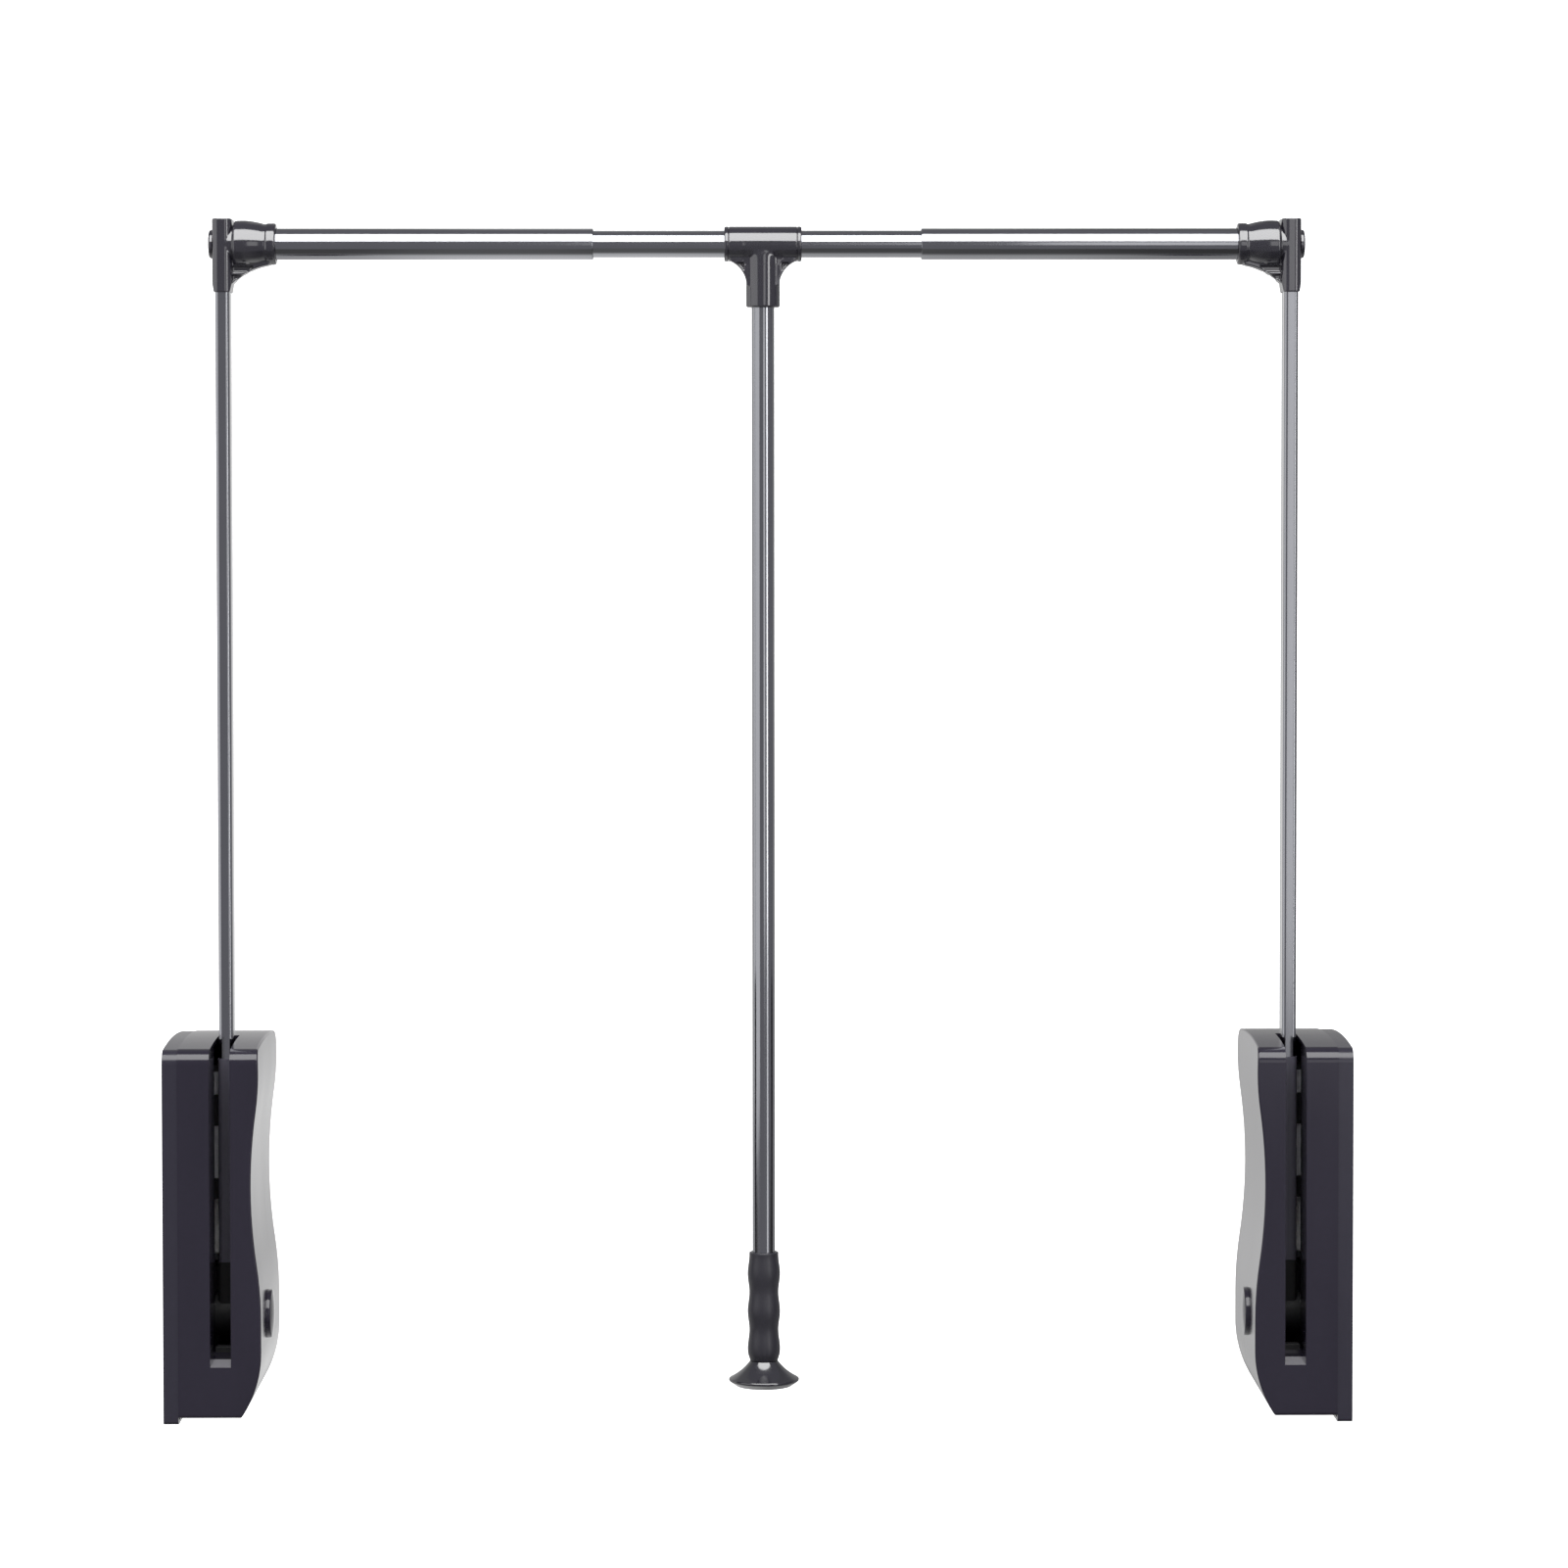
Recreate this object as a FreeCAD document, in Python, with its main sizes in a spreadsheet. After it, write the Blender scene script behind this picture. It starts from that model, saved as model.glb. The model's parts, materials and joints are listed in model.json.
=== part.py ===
import FreeCAD, Part
import math
import os
import re
import Sketcher
from FreeCAD import Placement, Rotation, Vector

# A pull-down wardrobe rail. Two wall units carry swinging arms, the arms carry a telescopic rail,
# and a pull rod with a grip hangs from a tee in the middle of the rail.
# Frame: X along the rail, -Y towards the person who pulls, +Z up. The origin lies on the bottom
# line of the wall plates, half way between the walls and half way through the units' depth.
# Everything on the left is modelled once, and the right side is its mirror image.

DIMENSIONS = [
    # whole lift
    ("overall_width", 830, "wall to wall with the rail fully drawn out"),
    ("rail_height", 824, "rail axis above the bottom of the wall plates"),
    ("unit_depth", 135, "front to back of a wall unit"),
    ("pivot_setback", 55, "pivot axis behind the front of the unit"),
    ("pivot_height", 69, "pivot axis above the bottom of the wall plate"),
    ("arm_inset", 40, "middle of an arm to the wall"),
    ("fit", 0.05, "radial clearance of pins, bushes and plugs"),
    ("slip", 0.1, "clearance of a tube or bar in its socket"),
    # outline of a wall unit, seen from the side
    ("unit_top", 265, "highest point of the roof"),
    ("roof_radius", 620, "radius of the crowned roof"),
    ("roof_corner", 10, "radius between the roof and the front or back"),
    ("foot_corner", 2.5, "radius at the bottom corners"),
    # wall plate
    ("plate_depth", 10.5, "depth of the wall plate's tray"),
    ("plate_floor", 3, "thickness on the wall"),
    ("plate_rim", 2.5, "thickness of the tray's rim"),
    ("plate_step", 0.5, "rim set back from the casing all round"),
    ("wall_screw_rows", 192, "wall screws apart in height"),
    ("wall_screw_columns", 96, "wall screws apart in depth"),
    ("wall_screw_base", 30, "lower wall screws above the bottom"),
    ("wall_screw_bore", 2.6, "radius of a wall screw hole"),
    ("wall_screw_pad", 6.5, "radius of the pad round a wall screw hole"),
    ("wall_screw_lift", 1.5, "height of that pad"),
    # casing
    ("foot_step", 4.5, "casing ends this far above the bottom of the plate"),
    ("casing_wall", 3, "wall thickness of the casing"),
    ("top_bulge", 67.1, "thickness from the wall at the upper bulge"),
    ("top_bulge_height", 245.5, "height of the upper bulge"),
    ("waist", 61.5, "thickness from the wall at the waist"),
    ("waist_height", 166, "height of the waist"),
    ("waist_share", 0.66, "share of the waist's hollow in the two blended radii"),
    ("low_bulge", 68.3, "thickness from the wall at the lower bulge"),
    ("low_bulge_height", 72.5, "height of the lower bulge"),
    ("foot_turn", 50, "casing curves inwards below this height"),
    ("foot_radius", 80, "radius of the casing below that height"),
    ("edge_round", 1.2, "rounding of the casing's curved edges"),
    ("slot_width", 14.5, "slot that the arm swings through"),
    ("slot_floor", 40.3, "height of the slot's lower end"),
    ("slot_lip", 5, "height of the bevelled lip at the slot's lower end"),
    ("slot_back", 4.3, "slot runs this far behind the arm"),
    ("channel_wall", 2, "walls beside the slot"),
    ("channel_depth", 35, "depth of those walls from the front"),
    ("case_screw_edge", 10, "case screws from the front and back"),
    ("case_screw_low", 20, "height of the lower case screws"),
    ("case_screw_high", 244, "height of the upper case screws"),
    ("case_screw_radius", 1.9, "shank of a case screw"),
    ("case_screw_head", 3.9, "head radius of a case screw"),
    ("case_screw_head_height", 1.5, "head height of a case screw"),
    ("case_screw_length", 25, "length of a case screw under its head"),
    ("case_post", 4.5, "radius of a screw post in the casing"),
    # pivot
    ("pin_radius", 6, "pivot pin"),
    ("pivot_boss", 12, "radius of the bosses that hold the pin"),
    ("plate_boss_end", 24, "plate boss face to the middle of the arm"),
    ("casing_boss_end", 9.5, "casing boss face to the middle of the arm"),
    ("cap_radius", 17.1, "pivot cap"),
    ("cap_seat", 2.5, "depth of the cap's seat in the casing"),
    ("cap_seat_floor", 3, "thickness of the casing under the cap"),
    ("cap_stand", 4, "pivot cap stands this proud of the lower bulge"),
    ("cap_round", 1.5, "rounded edge of the pivot cap"),
    # lever
    ("hub_radius", 15, "lever hub"),
    ("hub_half", 8, "half the width of the lever hub"),
    ("sleeve_half", 6.4, "half the width of the lever's sleeve"),
    ("sleeve_depth", 24, "depth of the lever's sleeve"),
    ("sleeve_top", 38, "end of the sleeve above the pivot"),
    ("sleeve_round", 3, "rounded corners of the sleeve"),
    ("socket_bottom", 16, "floor of the arm's socket above the pivot"),
    ("bush_wall", 1.5, "wall of a pivot bush"),
    ("bush_flange", 1, "thickness of a bush flange"),
    ("bush_flange_radius", 9, "radius of a bush flange"),
    # rack and pinion
    ("gear_module", 2, "module of the pinion and the rack"),
    ("gear_teeth", 16, "teeth round the pinion"),
    ("pressure_angle", 20, "pressure angle of the teeth"),
    ("tooth_backlash", 0.16, "thinning of each tooth on the pitch line"),
    ("gear_face", 10, "width of the pinion and the rack"),
    ("strut_side", 17, "middle of the rack to the middle of the arm"),
    ("strut_back", 20, "axis of the strut behind the pivot axis"),
    ("collar_radius", 13, "collar of the pinion against the lever"),
    ("collar_bore", 9.3, "bore of that collar, round the bush flange"),
    ("dowel_radius", 1.5, "dowel between pinion and lever"),
    ("dowel_circle", 11.15, "dowels from the pivot axis"),
    ("dowel_depth", 5, "depth of a dowel in the pinion and in the lever"),
    ("rack_teeth", 8, "teeth on the rack"),
    ("rack_back", 26, "back of the rack behind the pivot axis"),
    ("head_bottom", 109.5, "top of the rack's shelf under the strut"),
    ("shelf_height", 4.5, "thickness of that shelf"),
    ("shelf_radius", 7, "radius of that shelf"),
    ("guide_bottom", 32, "bottom of the rack guide"),
    ("guide_height", 68, "height of the rack guide"),
    ("guide_gap", 0.3, "running gap between rack and guide"),
    ("guide_wall", 2.7, "side walls of the rack guide"),
    ("guide_back_wall", 3.5, "back wall of the rack guide"),
    ("guide_front", 19.5, "front of the rack guide behind the pivot axis"),
    # gas strut
    ("strut_offset", 10.5, "axis of the strut to the middle of the arm"),
    ("strut_top", 239.5, "top of the strut's cylinder"),
    ("strut_radius", 7.2, "outer radius of the cylinder"),
    ("strut_bore", 6.2, "bore of the cylinder"),
    ("strut_end", 3, "thickness of the cylinder's closed end"),
    ("strut_low", 158, "lower end of the cylinder"),
    ("guide_cap_radius", 8.1, "outer radius of the strut's end guide"),
    ("guide_cap_low", 148.7, "lower rim of the end guide"),
    ("guide_cap_top", 163.4, "upper rim of the end guide"),
    ("guide_plug", 8, "depth of the end guide in the cylinder"),
    ("foot_end_radius", 6.3, "radius of the rod's end fitting"),
    ("foot_end_neck", 4.4, "radius at the top of that fitting"),
    ("foot_end_height", 18, "height of the rod's end fitting"),
    ("foot_pin", 3, "depth of that fitting's pin in the rack"),
    ("rod_thickness", 3.2, "radius of the strut's rod"),
    ("piston_height", 6, "height of the strut's piston"),
    ("piston_top", 203, "top of the piston at rest"),
    ("holder_low", 201, "lower end of the strut's holder"),
    ("holder_high", 223, "upper end of the holder's ring"),
    ("holder_radius", 8.6, "outer radius of the holder's ring"),
    ("holder_half", 6, "half the width of the holder's back"),
    ("holder_shelf", 4, "thickness of the holder's shelf over the strut"),
    # stops
    ("stop_height", 14, "height of the rubber stop behind the arm"),
    ("stop_gap", 0.3, "arm to its rubber stop at rest"),
    ("stop_top", 250, "top of that stop"),
    ("stop_wall", 3, "rib behind the rubber stop"),
    ("buffer_top", 50.6, "top of the lower rubber buffer"),
    ("buffer_height", 4, "thickness of that buffer"),
    ("buffer_front", 30, "front of that buffer before the pivot axis"),
    ("buffer_back", 21.5, "back of that buffer before the pivot axis"),
    ("buffer_half", 6, "half the width of the rubber stops"),
    ("stop_side", 2, "stop behind the arm reaches this far towards the wall"),
    # arm
    ("arm_width", 10, "narrow side of the arm's tube"),
    ("arm_depth", 20, "wide side of the arm's tube"),
    ("arm_wall", 1.5, "wall of the arm's tube"),
    ("arm_corner", 2.5, "rounded corners of the arm's tube"),
    ("arm_above_rail", 5, "arm ends this far above the rail axis"),
    ("cover_wall", 0.8, "wall of the plastic cover on the foot of the arm"),
    ("cover_top", 251, "top of that cover"),
    ("rivet_radius", 2, "rivet through the sleeve and the arm"),
    ("rivet_head", 3.2, "head radius of a rivet"),
    ("rivet_head_height", 0.6, "head height of a rivet"),
    ("lower_rivet", 22, "lower rivet above the pivot"),
    ("upper_rivet", 32, "upper rivet above the pivot"),
    # corner connector
    ("post_half", 6.9, "half the width of the connector's post"),
    ("post_depth", 26, "depth of the post"),
    ("post_round", 5, "rounded corners of the post"),
    ("post_bottom", 34, "post ends this far below the rail axis"),
    ("post_top", 20, "post ends this far above the rail axis"),
    ("post_edge", 2, "rounded top edge of the post"),
    ("funnel_height", 6.5, "post narrows over this height at its foot"),
    ("funnel_step", 1.3, "post narrows by this much on each side"),
    ("collar_swell", 16.6, "largest radius of the rail collar"),
    ("collar_swell_at", 14, "that radius beyond the middle of the arm"),
    ("collar_neck", 14, "radius of the collar before its rim"),
    ("collar_neck_at", 29.5, "that radius beyond the middle of the arm"),
    ("collar_rim", 14.6, "radius of the collar's rim"),
    ("collar_end", 37.4, "end of the collar beyond the middle of the arm"),
    ("web_half", 7.5, "half the thickness of the connector's web"),
    ("web_foot", 28.5, "web ends this far below the rail axis"),
    ("web_end", 33, "web ends this far beyond the middle of the arm"),
    ("web_drop", 14.8, "web's outer end below the rail axis"),
    ("web_radius", 46, "radius of the web's hollow edge"),
    ("web_pocket", 3.5, "depth of the pockets in the web"),
    ("web_rib", 1.8, "ribs left round the pockets"),
    ("bolt_radius", 3, "bolt through the corner"),
    ("bolt_head", 5.2, "head radius of that bolt"),
    ("bolt_head_height", 1.9, "head height of that bolt"),
    ("bolt_end", 22, "end of the bolt beyond the middle of the arm"),
    ("end_cap_radius", 10, "cover cap over the bolt head"),
    ("end_cap_height", 2.8, "height of the cover cap"),
    ("end_cap_wall", 0.9, "wall of the cover cap"),
    # rail
    ("tube_radius", 11, "outer rail tube"),
    ("tube_wall", 1.2, "wall of the outer rail tube"),
    ("tube_start", 7.6, "outer tube starts this far beyond the middle of the arm"),
    ("tube_mouth", 115.2, "inner end of the outer tube from the middle of the rail"),
    ("mouth_length", 3, "length of the rolled-in mouth"),
    ("plug_length", 20, "length of the threaded plug in the rail tube"),
    ("inner_radius", 9.5, "inner rail tube"),
    ("inner_wall", 1.3, "wall of the inner rail tube"),
    ("inner_half", 215, "half the length of the inner rail tube"),
    ("glide_flange", 3, "flange of a glide on the end of the inner tube"),
    ("glide_plug", 12, "depth of a glide in the inner tube"),
    # tee
    ("tee_half", 27.2, "half the length of the tee with its bushes"),
    ("tee_offset", 4, "tee and pull rod right of the middle of the rail"),
    ("tee_radius", 12.3, "radius of the tee's barrel"),
    ("tee_bore", 11, "bore of the tee's barrel"),
    ("tee_bush_flange", 3, "flange of a tee bush"),
    ("tee_bush_length", 15, "length of a tee bush inside the barrel"),
    ("tee_bush_round", 1.2, "rounded edge of a tee bush"),
    ("neck_radius", 11.9, "radius of the tee's neck"),
    ("neck_bottom", 44.5, "neck ends this far below the rail axis"),
    ("gusset_foot", 29.4, "gussets start this far below the rail axis"),
    ("gusset_half", 26, "gussets end this far from the middle"),
    ("gusset_drop", 12, "outer end of a gusset below the rail axis"),
    ("gusset_radius", 19, "radius of a gusset's hollow edge"),
    ("gusset_thick", 8, "half the thickness of the gussets"),
    ("gusset_pocket", 3, "depth of the pockets in the gussets"),
    ("stop_screw_radius", 2, "screw that limits the tee's turn"),
    ("stop_screw_tip", 8.6, "tip of that screw from the rail axis"),
    ("stop_boss_radius", 4, "boss for that screw"),
    ("stop_boss_end", 14.5, "boss face from the rail axis"),
    ("swing_forward", 110, "pull rod swings this far forward, degrees"),
    ("swing_back", 30, "pull rod swings this far back, degrees"),
    ("swing_spare", 14, "spare angle at each end of the tube's slot"),
    ("rod_screw_radius", 1.75, "screw through the neck and the pull rod"),
    ("rod_screw_head", 3.4, "head radius of that screw"),
    ("rod_screw_head_height", 2, "head height of that screw"),
    ("rod_screw_drop", 37, "that screw below the rail axis"),
    # pull rod, grip and foot
    ("rod_radius", 8, "pull rod"),
    ("rod_wall", 1.2, "wall of the pull rod"),
    ("rod_top", 13.4, "top of the pull rod below the rail axis"),
    ("rod_spare", 3, "pull rod ends this far above the grip's bottom"),
    ("grip_top", 112, "top of the grip above the bottom of the plates"),
    ("grip_bottom", 34.5, "bottom of the grip above the bottom of the plates"),
    ("grip_end_radius", 10.8, "radius at the top of the grip"),
    ("grip_waist", 10, "radius between the grip's bulges"),
    ("bulge_radius", 40, "radius of each bulge along the grip"),
    ("waist_blend", 10, "blend between two bulges"),
    ("foot_radius_top", 9.8, "radius at the top of the flared foot"),
    ("foot_rim_radius", 24.8, "largest radius of the flared foot"),
    ("foot_rim_height", 22.5, "height of the foot's upper edge"),
    ("foot_flare", 40, "radius of the foot's hollow flare"),
    ("foot_bottom", 17, "underside of the foot"),
    ("foot_spigot", 14, "spigot of the foot inside the pull rod"),
]

LEFT = "left"
RIGHT = "right"
ALIASES = {alias for alias, size, note in DIMENSIONS}

doc = FreeCAD.newDocument("PullDownRail")
params = doc.addObject("Spreadsheet::Sheet", "Params")
for row, (alias, size, note) in enumerate(DIMENSIONS, start=1):
    params.set(f"A{row}", alias)
    params.set(f"B{row}", str(size))
    params.setAlias(f"B{row}", alias)
    params.set(f"C{row}", note)
doc.recompute()

pieces = []


# ---------------------------------------------------------------- modelling helpers

def named(expression):
    """The expression with the sheet's name before each of its aliases."""
    def with_sheet(match):
        word = match.group(0)
        return f"Params.{word}" if word in ALIASES else word
    return re.sub(r"[a-z][a-z_]*", with_sheet, str(expression))


def number(expression):
    """The value of an expression of the sheet's aliases."""
    return float(params.evalExpression(named(expression)))


def bind(target, field, expression):
    target.setExpression(field, named(expression))


def start_body(label, x, y, z):
    """A body of its own, placed by its datum point."""
    body = doc.addObject("PartDesign::Body", "Body")
    body.Label = label
    body.AllowCompound = True
    bind(body, "Placement.Base.x", x)
    bind(body, "Placement.Base.y", y)
    bind(body, "Placement.Base.z", z)
    pieces.append(body)
    return body


def arc_between(start, finish, radius, side):
    """The short arc between two points whose centre lies to the left or right of the way."""
    chord = finish - start
    half = chord.Length / 2
    leftward = Vector(-chord.y, chord.x, 0).normalize()
    rise = math.sqrt(radius ** 2 - half ** 2)
    centre = (start + finish) / 2 + leftward * (rise if side == LEFT else -rise)
    first, last = (start, finish) if side == LEFT else (finish, start)
    angles = [math.atan2(p.y - centre.y, p.x - centre.x) for p in (first, last)]
    circle = Part.Circle(centre, Vector(0, 0, 1), radius)
    return Part.ArcOfCircle(circle, angles[0], angles[1])


def pin_point(drawing, curve, point, x, y):
    """Hold a point of a sketch at the place that two expressions give."""
    for direction, axis, expression in (("DistanceX", -2, x), ("DistanceY", -1, y)):
        if expression == "0":
            drawing.addConstraint(Sketcher.Constraint("PointOnObject", curve, point, axis))
            continue
        rule = Sketcher.Constraint(direction, -1, 1, curve, point, number(expression))
        index = drawing.addConstraint(rule)
        bind(drawing, f"Constraints[{index}]", expression)


def draw_circle(drawing, x, y, radius):
    centre = Vector(number(x), number(y), 0)
    curve = drawing.addGeometry(Part.Circle(centre, Vector(0, 0, 1), number(radius)), False)
    index = drawing.addConstraint(Sketcher.Constraint("Radius", curve, number(radius)))
    bind(drawing, f"Constraints[{index}]", radius)
    pin_point(drawing, curve, 3, x, y)


def draw_path(drawing, path):
    """A closed outline. A corner is (x, y), or (x, y, radius, side) where an arc leaves it."""
    corners = [Vector(number(corner[0]), number(corner[1]), 0) for corner in path]
    curves = []
    for index, corner in enumerate(path):
        start = corners[index]
        finish = corners[(index + 1) % len(path)]
        if len(corner) == 2:
            curve = drawing.addGeometry(Part.LineSegment(start, finish), False)
            curves.append((curve, 1, 2))
            continue
        radius, side = corner[2:]
        arc = arc_between(start, finish, number(radius), side)
        curve = drawing.addGeometry(arc, False)
        curves.append((curve, 1, 2) if side == LEFT else (curve, 2, 1))
    for index, (curve, first, last) in enumerate(curves):
        follower = curves[(index + 1) % len(curves)]
        joined = Sketcher.Constraint("Coincident", curve, last, follower[0], follower[1])
        drawing.addConstraint(joined)
        pin_point(drawing, curve, first, path[index][0], path[index][1])
        if len(path[index]) > 2:
            radius = path[index][2]
            rule = Sketcher.Constraint("Radius", curve, number(radius))
            bind(drawing, f"Constraints[{drawing.addConstraint(rule)}]", radius)


def sketch(body, plane, loops, height="0"):
    """A sketch on one of the body's planes, lifted to a height along the world's axis.
    A loop is a list of corners, or a tuple for a circle."""
    drawing = body.newObject("Sketcher::SketchObject", "Sketch")
    support = [item for item in body.Origin.OriginFeatures if item.Role == f"{plane}_Plane"]
    drawing.AttachmentSupport = [(support[0], "")]
    drawing.MapMode = "FlatFace"
    sign = -1 if plane == "XZ" else 1
    bind(drawing, "AttachmentOffset.Base.z", f"{sign} * ({height})")
    for loop in loops:
        if isinstance(loop, tuple):
            draw_circle(drawing, *loop)
        else:
            draw_path(drawing, loop)
    return drawing


def pad(body, plane, loops, low, high):
    """Fill the loops from the lower to the higher place along the plane's axis."""
    feature_base = high if plane == "XZ" else low
    drawing = sketch(body, plane, loops, feature_base)
    feature = body.newObject("PartDesign::Pad", "Pad")
    feature.Profile = drawing
    bind(feature, "Length", f"({high}) - ({low})")
    return feature


def cut(body, plane, loops, low, high):
    """Remove the loops from the lower to the higher place along the plane's axis."""
    feature_base = low if plane == "XZ" else high
    drawing = sketch(body, plane, loops, feature_base)
    feature = body.newObject("PartDesign::Pocket", "Pocket")
    feature.Profile = drawing
    bind(feature, "Length", f"({high}) - ({low})")
    return feature


def turn(body, loops, axis, kind="Revolution"):
    """Revolve outlines of the XZ plane about the body's X or Z axis."""
    drawing = sketch(body, "XZ", loops)
    feature = body.newObject(f"PartDesign::{kind}", kind)
    feature.Profile = drawing
    feature.ReferenceAxis = (drawing, ["H_Axis" if axis == "X" else "V_Axis"])
    feature.Angle = 360
    return feature


def edges_where(shape, test):
    """Names of the edges whose middle point passes a test."""
    names = []
    for index, edge in enumerate(shape.Edges, start=1):
        middle = edge.valueAt((edge.FirstParameter + edge.LastParameter) / 2)
        if test(edge, middle):
            names.append(f"Edge{index}")
    return names


def dress(body, kind, field, size, test):
    """Round or bevel the edges of the body's last feature that pass a test."""
    doc.recompute()
    base = body.Tip
    feature = body.newObject(f"PartDesign::{kind}", kind)
    feature.Base = (base, edges_where(base.Shape, test))
    bind(feature, field, size)
    return feature


def rectangle(x_low, y_low, x_high, y_high):
    return [(x_low, y_low), (x_high, y_low), (x_high, y_high), (x_low, y_high)]


def centred(half_x, half_y, corner):
    """A rectangle about the origin with rounded corners."""
    return [
        (f"{corner} - ({half_x})", f"-({half_y})"),
        (f"{half_x} - ({corner})", f"-({half_y})", corner, LEFT),
        (half_x, f"{corner} - ({half_y})"),
        (half_x, f"{half_y} - ({corner})", corner, LEFT),
        (f"{half_x} - ({corner})", half_y),
        (f"{corner} - ({half_x})", half_y, corner, LEFT),
        (f"-({half_x})", f"{half_y} - ({corner})"),
        (f"-({half_x})", f"{corner} - ({half_y})", corner, LEFT),
    ]


# ---------------------------------------------------------------- places shared by the pieces

ARM_X = "arm_inset - overall_width / 2"
PIVOT_Y = "pivot_setback - unit_depth / 2"
FRONT = "-pivot_setback"
BACK = "unit_depth - pivot_setback"
WALL = "-arm_inset"
PLATE_INSIDE = "plate_floor - arm_inset"
JOINT = "plate_depth - arm_inset"
ROOF_MIDDLE = "unit_depth / 2 - pivot_setback"
PITCH_RADIUS = "gear_module * gear_teeth / 2"
STRUT_X = f"{ARM_X} - strut_offset"
STRUT_Y = f"{PIVOT_Y} + strut_back"
SLOT = "slot_width / 2"
ROOF_CORNER_RISE = "sqrt((roof_radius - roof_corner) ^ 2 - (unit_depth / 2 - roof_corner) ^ 2)"
ROOF_CORNER_HEIGHT = f"(unit_top - roof_radius + {ROOF_CORNER_RISE})"
CASE_SCREWS = [
    (f"{side} + {sign} * case_screw_edge", height)
    for side, sign in ((FRONT, 1), (BACK, -1))
    for height in ("case_screw_low", "case_screw_high")
]
WALL_SCREWS = [
    (f"{ROOF_MIDDLE} + {sign} * wall_screw_columns / 2", f"wall_screw_base + {row} * wall_screw_rows")
    for sign in (-1, 1)
    for row in (0, 1)
]


def unit_side(inset, bottom):
    """Side outline of a wall unit, offset inwards: crowned roof, rounded corners, flat bottom."""
    crown = f"(roof_radius - ({inset}))"
    corner = f"(roof_corner - ({inset}))"
    reach = f"((unit_depth / 2 - roof_corner) * {crown} / (roof_radius - roof_corner))"
    shoulder = f"(unit_top - roof_radius + {ROOF_CORNER_RISE} * {crown} / (roof_radius - roof_corner))"
    low = f"(({bottom}) + foot_corner)"
    return [
        (f"{FRONT} + ({inset}) + foot_corner", bottom),
        (f"{BACK} - ({inset}) - foot_corner", bottom, "foot_corner", LEFT),
        (f"{BACK} - ({inset})", low),
        (f"{BACK} - ({inset})", ROOF_CORNER_HEIGHT, corner, LEFT),
        (f"{ROOF_MIDDLE} + {reach}", shoulder, crown, LEFT),
        (f"{ROOF_MIDDLE} - {reach}", shoulder, corner, LEFT),
        (f"{FRONT} + ({inset})", ROOF_CORNER_HEIGHT),
        (f"{FRONT} + ({inset})", low, "foot_corner", LEFT),
    ]


def blended_sum(bulge, bulge_height):
    """Sum of the radii of a bulge and the waist whose arcs run into each other with no corner."""
    return (f"((({bulge_height} - waist_height) ^ 2 + ({bulge} - waist) ^ 2)"
            f" / (2 * ({bulge} - waist)))")


TOP_SUM = blended_sum("top_bulge", "top_bulge_height")
LOW_SUM = blended_sum("low_bulge", "low_bulge_height")
WAIST_RADIUS = f"(waist_share * min({TOP_SUM}; {LOW_SUM}))"


def on_circle(bulge, bulge_height, radius, inset, height):
    """Distance from the middle of the arm to a bulge's arc, offset inwards, at a height."""
    reach = f"sqrt(({radius} - ({inset})) ^ 2 - ({height} - ({bulge_height})) ^ 2)"
    return f"{bulge} - {radius} + {reach} - arm_inset"


def casing_curve(inset, low, high):
    """The curved inner side of the casing, from the bottom up, offset inwards."""
    top_radius = f"({TOP_SUM} - {WAIST_RADIUS})"
    low_radius = f"({LOW_SUM} - {WAIST_RADIUS})"

    def meeting(bulge, bulge_height, radius):
        share = f"({radius} - ({inset})) / ({radius} + {WAIST_RADIUS})"
        across = f"({bulge} - {radius}) + (waist + {WAIST_RADIUS} - {bulge} + {radius}) * {share}"
        return f"{across} - arm_inset", f"{bulge_height} + (waist_height - {bulge_height}) * {share}"

    lower = meeting("low_bulge", "low_bulge_height", low_radius)
    upper = meeting("top_bulge", "top_bulge_height", top_radius)
    return [
        (on_circle("low_bulge", "foot_turn", "foot_radius", inset, low), low,
         f"foot_radius - ({inset})", LEFT),
        (f"low_bulge - ({inset}) - arm_inset", "foot_turn"),
        (f"low_bulge - ({inset}) - arm_inset", "low_bulge_height",
         f"{low_radius} - ({inset})", LEFT),
        (lower[0], lower[1], f"{WAIST_RADIUS} + ({inset})", RIGHT),
        (upper[0], upper[1], f"{top_radius} - ({inset})", LEFT),
        (on_circle("top_bulge", "top_bulge_height", top_radius, inset, high), high),
    ]


# ---------------------------------------------------------------- wall unit

def wall_plate():
    """Tray screwed to the wardrobe's side. It carries the casing and one end of the pivot pin."""
    body = start_body("left_wall_plate", ARM_X, PIVOT_Y, "0")
    pad(body, "YZ", [unit_side("plate_step", "0")], WALL, JOINT)
    cut(body, "YZ", [unit_side("plate_step + plate_rim", "plate_rim")], PLATE_INSIDE, JOINT)
    pads = [(y, z, "wall_screw_pad") for y, z in WALL_SCREWS]
    pad(body, "YZ", pads, WALL, f"{PLATE_INSIDE} + wall_screw_lift")
    pad(body, "YZ", [("0", "pivot_height", "pivot_boss")], WALL, "-plate_boss_end")
    cut(body, "YZ", [("0", "pivot_height", "pin_radius + fit")], PLATE_INSIDE, "-plate_boss_end")
    holes = [(y, z, "wall_screw_bore") for y, z in WALL_SCREWS]
    cut(body, "YZ", holes, f"{WALL} - 1", f"{PLATE_INSIDE} + wall_screw_lift + 1")
    shanks = [(y, z, "case_screw_radius + slip") for y, z in CASE_SCREWS]
    cut(body, "YZ", shanks, f"{WALL} - 1", f"{PLATE_INSIDE} + 1")
    heads = [(y, z, "case_screw_head + slip") for y, z in CASE_SCREWS]
    cut(body, "YZ", heads, f"{WALL} - 1", f"{WALL} + case_screw_head_height")
    return body


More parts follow.
